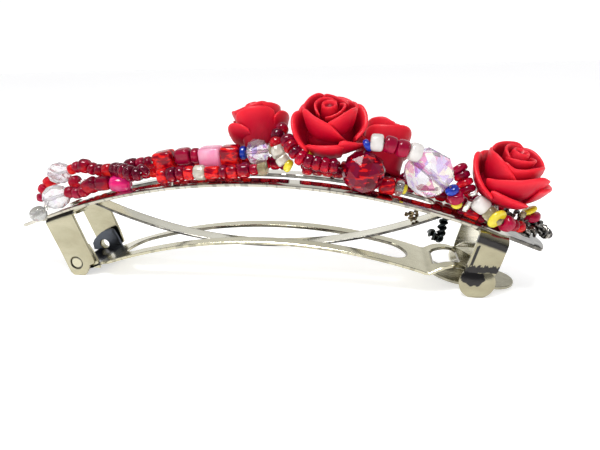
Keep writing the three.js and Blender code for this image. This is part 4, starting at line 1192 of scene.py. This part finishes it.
BEHIND_PETALS = [
    ([(60, 1.7, 2.3), (100, 1.9, 2.8), (150, 1.95, 2.9), (195, 1.95, 2.7), (232, 1.9, 2.2)], WRAP),
    ([(250, 1.8, 2.3), (295, 2.0, 2.7), (335, 2.1, 2.8), (375, 2.1, 2.6), (410, 1.9, 2.2)], WRAP),
    ([(196, 3.0, 1.6), (215, 3.1, 2.4), (240, 3.1, 2.8), (262, 3.1, 2.9), (285, 3.1, 2.5), (305, 3.1, 2.1)],
     SLIM_CUP),
    ([(345, 3.3, 1.9), (370, 3.4, 2.4), (400, 3.4, 2.6), (430, 3.3, 2.2)], LOW_CUP),
    ([(60, 3.3, 2.0), (90, 3.4, 2.6), (125, 3.4, 2.7), (160, 3.3, 2.3), (190, 3.2, 1.7)], LOW_CUP),
    ([(222, 3.4, 0.9), (236, 3.55, 1.4), (255, 3.6, 1.7), (275, 3.6, 1.9), (296, 3.65, 2.3),
      (313, 3.7, 2.5), (332, 3.7, 2.35), (350, 3.6, 1.8), (360, 3.5, 1.0)], (3.7, -4.3, 0.6, 0.2)),
    ([(150, 4.1, -0.6), (175, 4.4, 0.2), (200, 4.4, 0.3), (225, 4.2, -0.2), (240, 4.0, -0.9)], BACK_OPEN),
    ([(340, 4.0, -0.6), (360, 4.4, 0.2), (385, 4.5, 0.4), (415, 4.2, 0.0)], BACK_OPEN),
    ([(50, 4.2, 0.0), (80, 4.4, 0.7), (115, 4.4, 0.6), (150, 4.2, 0.0)], (2.9, -2.6, 0.6, 0.3)),
]
RIGHT_PETALS = [
    ([(30, 1.7, 2.9), (80, 1.85, 3.5), (130, 1.85, 3.6), (190, 1.85, 3.3), (225, 1.8, 2.8)], SMALL_WRAP),
    ([(205, 1.9, 2.7), (240, 2.1, 3.0), (280, 2.1, 3.2), (330, 2.0, 3.2), (385, 1.8, 2.8)], SMALL_WRAP),
    ([(216, 2.9, 2.3), (230, 3.0, 2.5), (250, 3.1, 2.25), (270, 3.15, 2.45), (295, 3.2, 2.9),
      (320, 3.2, 3.0), (345, 3.2, 2.6)], SLIM_CUP),
    ([(330, 3.2, 2.2), (355, 3.3, 2.5), (380, 3.3, 2.9), (410, 3.3, 3.2), (440, 3.2, 2.9)], SLIM_CUP),
    ([(60, 3.2, 2.8), (80, 3.3, 3.4), (105, 3.3, 3.3), (135, 3.3, 3.0), (165, 3.2, 2.5)], SLIM_CUP),
    ([(150, 3.3, 2.3), (165, 3.4, 2.8), (182, 3.45, 2.8), (203, 3.45, 2.9), (220, 3.4, 2.7),
      (240, 3.4, 2.1), (259, 3.4, 1.4), (272, 3.4, 0.6)], (2.4, -1.8, 0.5, 0.12)),
    ([(216, 3.9, 0.1), (232, 4.1, 0.5), (250, 4.2, 1.1), (268, 4.25, 1.6), (285, 4.3, 2.1), (300, 4.4, 2.4),
      (318, 4.5, 2.0)], (2.6, -2.3, 0.55, 0.2)),
    ([(10, 4.2, 0.3), (35, 4.5, 0.9), (60, 4.5, 1.0), (90, 4.3, 0.5)], HIGH_OPEN),
    ([(80, 4.2, 0.4), (105, 4.5, 1.0), (130, 4.5, 1.2), (152, 4.3, 0.8)], HIGH_OPEN),
    ([(140, 4.3, 0.9), (155, 4.55, 1.4), (172, 4.6, 1.2), (190, 4.6, 0.5), (208, 4.55, -0.3),
      (226, 4.5, -1.0), (242, 4.3, -1.5)], (2.8, -2.6, 0.85, 0.3)),
    ([(306, 4.3, 0.6), (320, 4.7, 0.9), (335, 4.9, 0.7), (352, 4.8, 0.5), (375, 4.5, 0.2)],
     (2.8, -2.6, 0.7, 0.3)),
    ([(234, 4.1, -0.9), (248, 4.4, -0.8), (265, 4.5, -0.9), (282, 4.45, -1.1), (303, 4.2, -1.5)],
     (2.6, -3.0, 0.85, 0.3)),
]
ROSE_CORE = [(0, -3.1), (1.6, -3.1), (3.0, -2.7), (3.4, -2.0), (3.3, -1.3), (2.9, -0.6), (2.6, 0.6),
             (1.5, 1.1), (0, 1.1)]
ROSE_BUD = [(1.5, 0.3), (1.32, 1.4), (1.12, 2.5), (1.02, 3.1), (0.94, 3.24), (0.80, 3.22), (0.66, 3.05),
            (0.45, 2.75), (0.0, 2.6), (0.0, 0.3)]


def build_rose(name, centre, axis, petals, scale=1.0, bud_lift=0.0):
    """A carved rose: a core, a hollow bud and thick petals, every one a closed solid."""
    up = Vector(axis).normalized()
    first = (Vector((1, 0, 0)) - up * up.x).normalized()
    second = up.cross(first)
    basis = np.array([first, second, up])

    def placed(points):
        return (np.asarray(points) * scale) @ basis + np.array(centre, float)

    parts, faces, lips, count = [], [], [], 0

    def gather(points, some_faces, some_lips):
        nonlocal count
        parts.append(placed(points))
        faces.extend(tuple(i + count for i in face) for face in some_faces)
        lips.extend(some_lips)
        count += len(points)

    # The lip values set the painted light and shade: the core is all in painted shade, and the bud lightens
    # towards its top.
    points, some = lathe(ROSE_CORE, 32)
    gather(points, some, [0.0] * len(points))
    points, some = lathe(ROSE_BUD, 32)
    points[:, 2] += bud_lift * (points[:, 2] > 1.0)
    radius = np.hypot(points[:, 0], points[:, 1])
    gather(points, some, np.clip((points[:, 2] - 1.5 - bud_lift) / 1.7, 0, 1) * (radius > 0.55))
    for stations, style in petals:
        gather(*petal_mesh(stations, *style))
    piece = add_piece(f"{name}_carved", np.vstack(parts), faces, "rose_resin", "rose_resin", nodes=[name],
                      sharp=None, values={"lip": lips})
    subdivide = piece.modifiers.new("smooth", "SUBSURF")
    subdivide.levels = 1
    subdivide.render_levels = 1


def build_roses():
    build_rose("rose_centre", (10.7, -1, 7.3), (0, -0.45, 0.9), CENTRE_PETALS)
    build_rose("rose_right", (33.9, -1, 0.55), (0.27, -0.22, 0.95), RIGHT_PETALS, scale=1.05, bud_lift=0.4)
    build_rose("rose_left", (-0.4, 3.8, 6.7), (-0.35, 0.3, 0.9), LEFT_PETALS)
    build_rose("rose_behind", (17.7, 4.1, 4.1), (0.25, 0.3, 0.9), BEHIND_PETALS)


# ---------------------------------------------------------------- wires
def build_wires():
    def wire(name, route, radius, twists, steps, material, flat=1.0):
        points, faces = tube(route, radius, twists, steps, 10, flat)
        add_piece(f"{name}_twist", points, faces, material, "craft_wire", nodes=[name], sharp=60)

    wire("wire_loop_upper", [
        (28.9, -3.4, -1.3), (29.1, -3.75, -1.25), (29.5, -3.8, -0.95), (29.65, -3.7, -0.45)],
        0.34, 0, 16, "wire_silver", 0.45)
    wire("wire_loop_lower", [(28.4, -3.6, -3.4), (28.6, -3.75, -2.8), (28.9, -3.7, -2.1)], 0.36, 0, 14,
         "wire_silver", 0.5)
    wire("wire_end_left", [(-26.6, -2.3, -1.0), (-26.0, -2.2, -0.8), (-25.0, -1.9, -0.6)], 0.17, 1.5, 20,
         "wire_silver")
    wire("wire_loop_left", [
        (-33.8, -2.3, -5.6), (-33.5, -2.3, -5.0), (-33.0, -2.3, -5.0), (-32.8, -2.3, -5.4)],
        0.16, 1.5, 22, "wire_silver")
    wire("wire_knot", [
        (22.4, -0.5, -4.3), (22.7, -0.2, -5.0), (22.6, 0.0, -5.7), (22.1, -0.3, -5.9), (21.8, -0.6, -5.4),
        (22.2, -0.8, -4.8), (21.8, -0.8, -4.8), (21.1, -0.6, -5.1)], 0.17, 4, 60, "wire_brown")
    wire("wire_tail", [
        (26.6, -2.0, -4.5), (26.2, -2.1, -5.3), (26.0, -2.3, -6.0), (25.9, -2.4, -6.8), (25.7, -2.4, -7.6),
        (25.4, -2.4, -7.9), (24.9, -2.4, -7.3), (24.3, -2.4, -6.8)], 0.33, 3.5, 90, "wire_tail")
    wire("wire_wrap_right", [
        (36.5, -1.7, -6.6), (37.0, -2.2, -6.3), (37.9, -2.0, -6.5), (38.6, -1.5, -6.2), (39.4, -1.1, -6.9),
        (39.9, -0.4, -7.3), (39.3, 0.4, -6.6), (38.4, 0.6, -6.0), (37.3, 0.4, -5.7), (36.6, -0.6, -5.5),
        (37.3, -1.3, -5.7), (38.2, -1.0, -5.9)], 0.40, 9, 150, "wire_wrap")

    def tie(name, route, radius=0.13, twists=0, material="wire_silver"):
        points, faces = tube(route, radius, twists, 60)
        add_piece(name, points, faces, material, "craft_wire")

    tie("tie_tongue_bead", [
        (-31.9, -3.0, -3.6), (-31.2, -4.3, -3.9), (-30.5, -5.3, -4.3), (-31.0, -5.45, -4.53),
        (-33.0, -5.45, -5.41), (-33.9, -5.0, -5.8), (-34.2, -3.9, -6.0), (-33.9, -2.9, -5.8),
        (-33.7, -2.3, -5.6)])
    tie("tie_left_end", [
        (-31.8, -1.0, -0.2), (-32.6, -0.4, 0.0), (-32.8, 0.5, -0.3), (-32.2, 1.0, -0.8)])
    tie("tie_left_tongue", [
        (-34.8, -0.3, -4.6), (-34.9, -0.35, -5.4), (-35.4, -0.3, -6.2), (-36.1, -0.1, -6.7),
        (-36.3, 0.1, -7.5), (-36.0, 0.0, -8.1), (-35.4, -0.1, -7.9)])
    stems = {"left": ((0.7, 2.9, 4.2), (0.8, 1.6, -0.2)), "centre": ((10.7, 0.5, 4.7), (10.7, 2.0, -0.8)),
             "behind": ((16.9, 3.1, 1.5), (16.7, 2.0, -1.7)),
             "right": ((33.1, -0.3, -2.1), (32.8, -0.2, -6.2))}
    for rose, (base, foot) in stems.items():
        middle = [(a + b) / 2 + 0.1 for a, b in zip(base, foot)]
        tie(f"stem_{rose}", [base, middle, foot], 0.18, 3)
    tie("tie_right_end", [
        (33.6, -2.5, -3.3), (34.6, -2.6, -4.2), (35.2, -2.3, -3.7), (35.8, -2.2, -4.6), (36.3, -2.0, -5.4),
        (36.8, -1.8, -5.0)], 0.16, 4, "wire_dark")


# ---------------------------------------------------------------- studio
def build_stage():
    bpy.ops.mesh.primitive_plane_add(size=6.0, location=(0, 1.5, 0))
    floor = bpy.context.object
    floor.name = "studio_floor"
    shade = Shade("studio_floor", Emission_Color=WHITE, Emission_Strength=0.52)
    clouds = shade.ramp(shade.noise(6, 2), [(0.3, (0.80, 0.80, 0.795)), (0.7, (0.84, 0.84, 0.835))])
    floor.data.materials.append(shade.finish(clouds, 0.75))

    def softbox(name, place, aim, width, height, power):
        data = bpy.data.lights.new(name, "AREA")
        data.shape = "RECTANGLE"
        data.size, data.size_y = width, height
        data.energy = power
        lamp = bpy.data.objects.new(name, data)
        lamp.location = place
        lamp.rotation_euler = (Vector(aim) - Vector(place)).to_track_quat("-Z", "Y").to_euler()
        bpy.context.scene.collection.objects.link(lamp)
        return lamp

    softbox("key_overhead", (-0.03, -0.10, 0.34), (0, 0, 0.01), 0.13, 0.08, 0.60)
    front = softbox("fill_front", (0.02, -0.45, 0.12), (0, 0, 0.01), 0.4, 0.25, 0.8)
    front.visible_glossy = False
    front.visible_transmission = False
    glint = softbox("glint", (-0.05, -0.12, 0.30), (0, 0, 0.01), 0.16, 0.10, 1.2)
    glint.visible_diffuse = False
    glint.visible_transmission = False
    softbox("fill_left", (-0.35, -0.15, 0.16), (0, 0, 0.01), 0.12, 0.2, 0.15)

    world = bpy.data.worlds.new("studio")
    world.use_nodes = True
    bpy.context.scene.world = world
    sky = Nodes(world.node_tree)
    direction = sky.node("ShaderNodeTexCoord", {}).outputs["Generated"]
    split = sky.node("ShaderNodeSeparateXYZ", {0: direction})
    by_height = sky.ramp(split.outputs["Z"], [
        (0.25, (1.05, 1.05, 1.05)), (0.6, (0.55, 0.55, 0.56)), (1.0, (0.75, 0.75, 0.75))])
    away = sky.spread(split.outputs["Y"], 0.0, 1.0, -0.6, 0.5)
    sky.feed(sky.tree.nodes["Background"].inputs["Color"], sky.mix(away, (0.30, 0.30, 0.32), by_height))


def build_camera():
    data = bpy.data.cameras.new("camera")
    data.sensor_width = 36.0
    data.lens = 27.49
    data.clip_start = 0.001
    camera = bpy.data.objects.new("camera", data)
    camera.location = to_row([16.551, -62.825, 15.113])
    camera.rotation_euler = [math.radians(angle) for angle in (70.550, 1.208, 8.983)]
    bpy.context.scene.collection.objects.link(camera)
    bpy.context.scene.camera = camera


build_camera()
build_stage()
build_plate()
build_bracket()
build_arm()
build_bow()
build_latch()
build_strands()
build_single_beads()
build_roses()
build_wires()
for rivet in ("bracket_rivet", "latch_rivet"):
    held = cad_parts[rivet]
    held.data.materials.clear()
    held.data.materials.append(MATERIALS["nickel_satin"])

bpy.context.scene.view_settings.view_transform = "Standard"

bpy.context.view_layer.update()
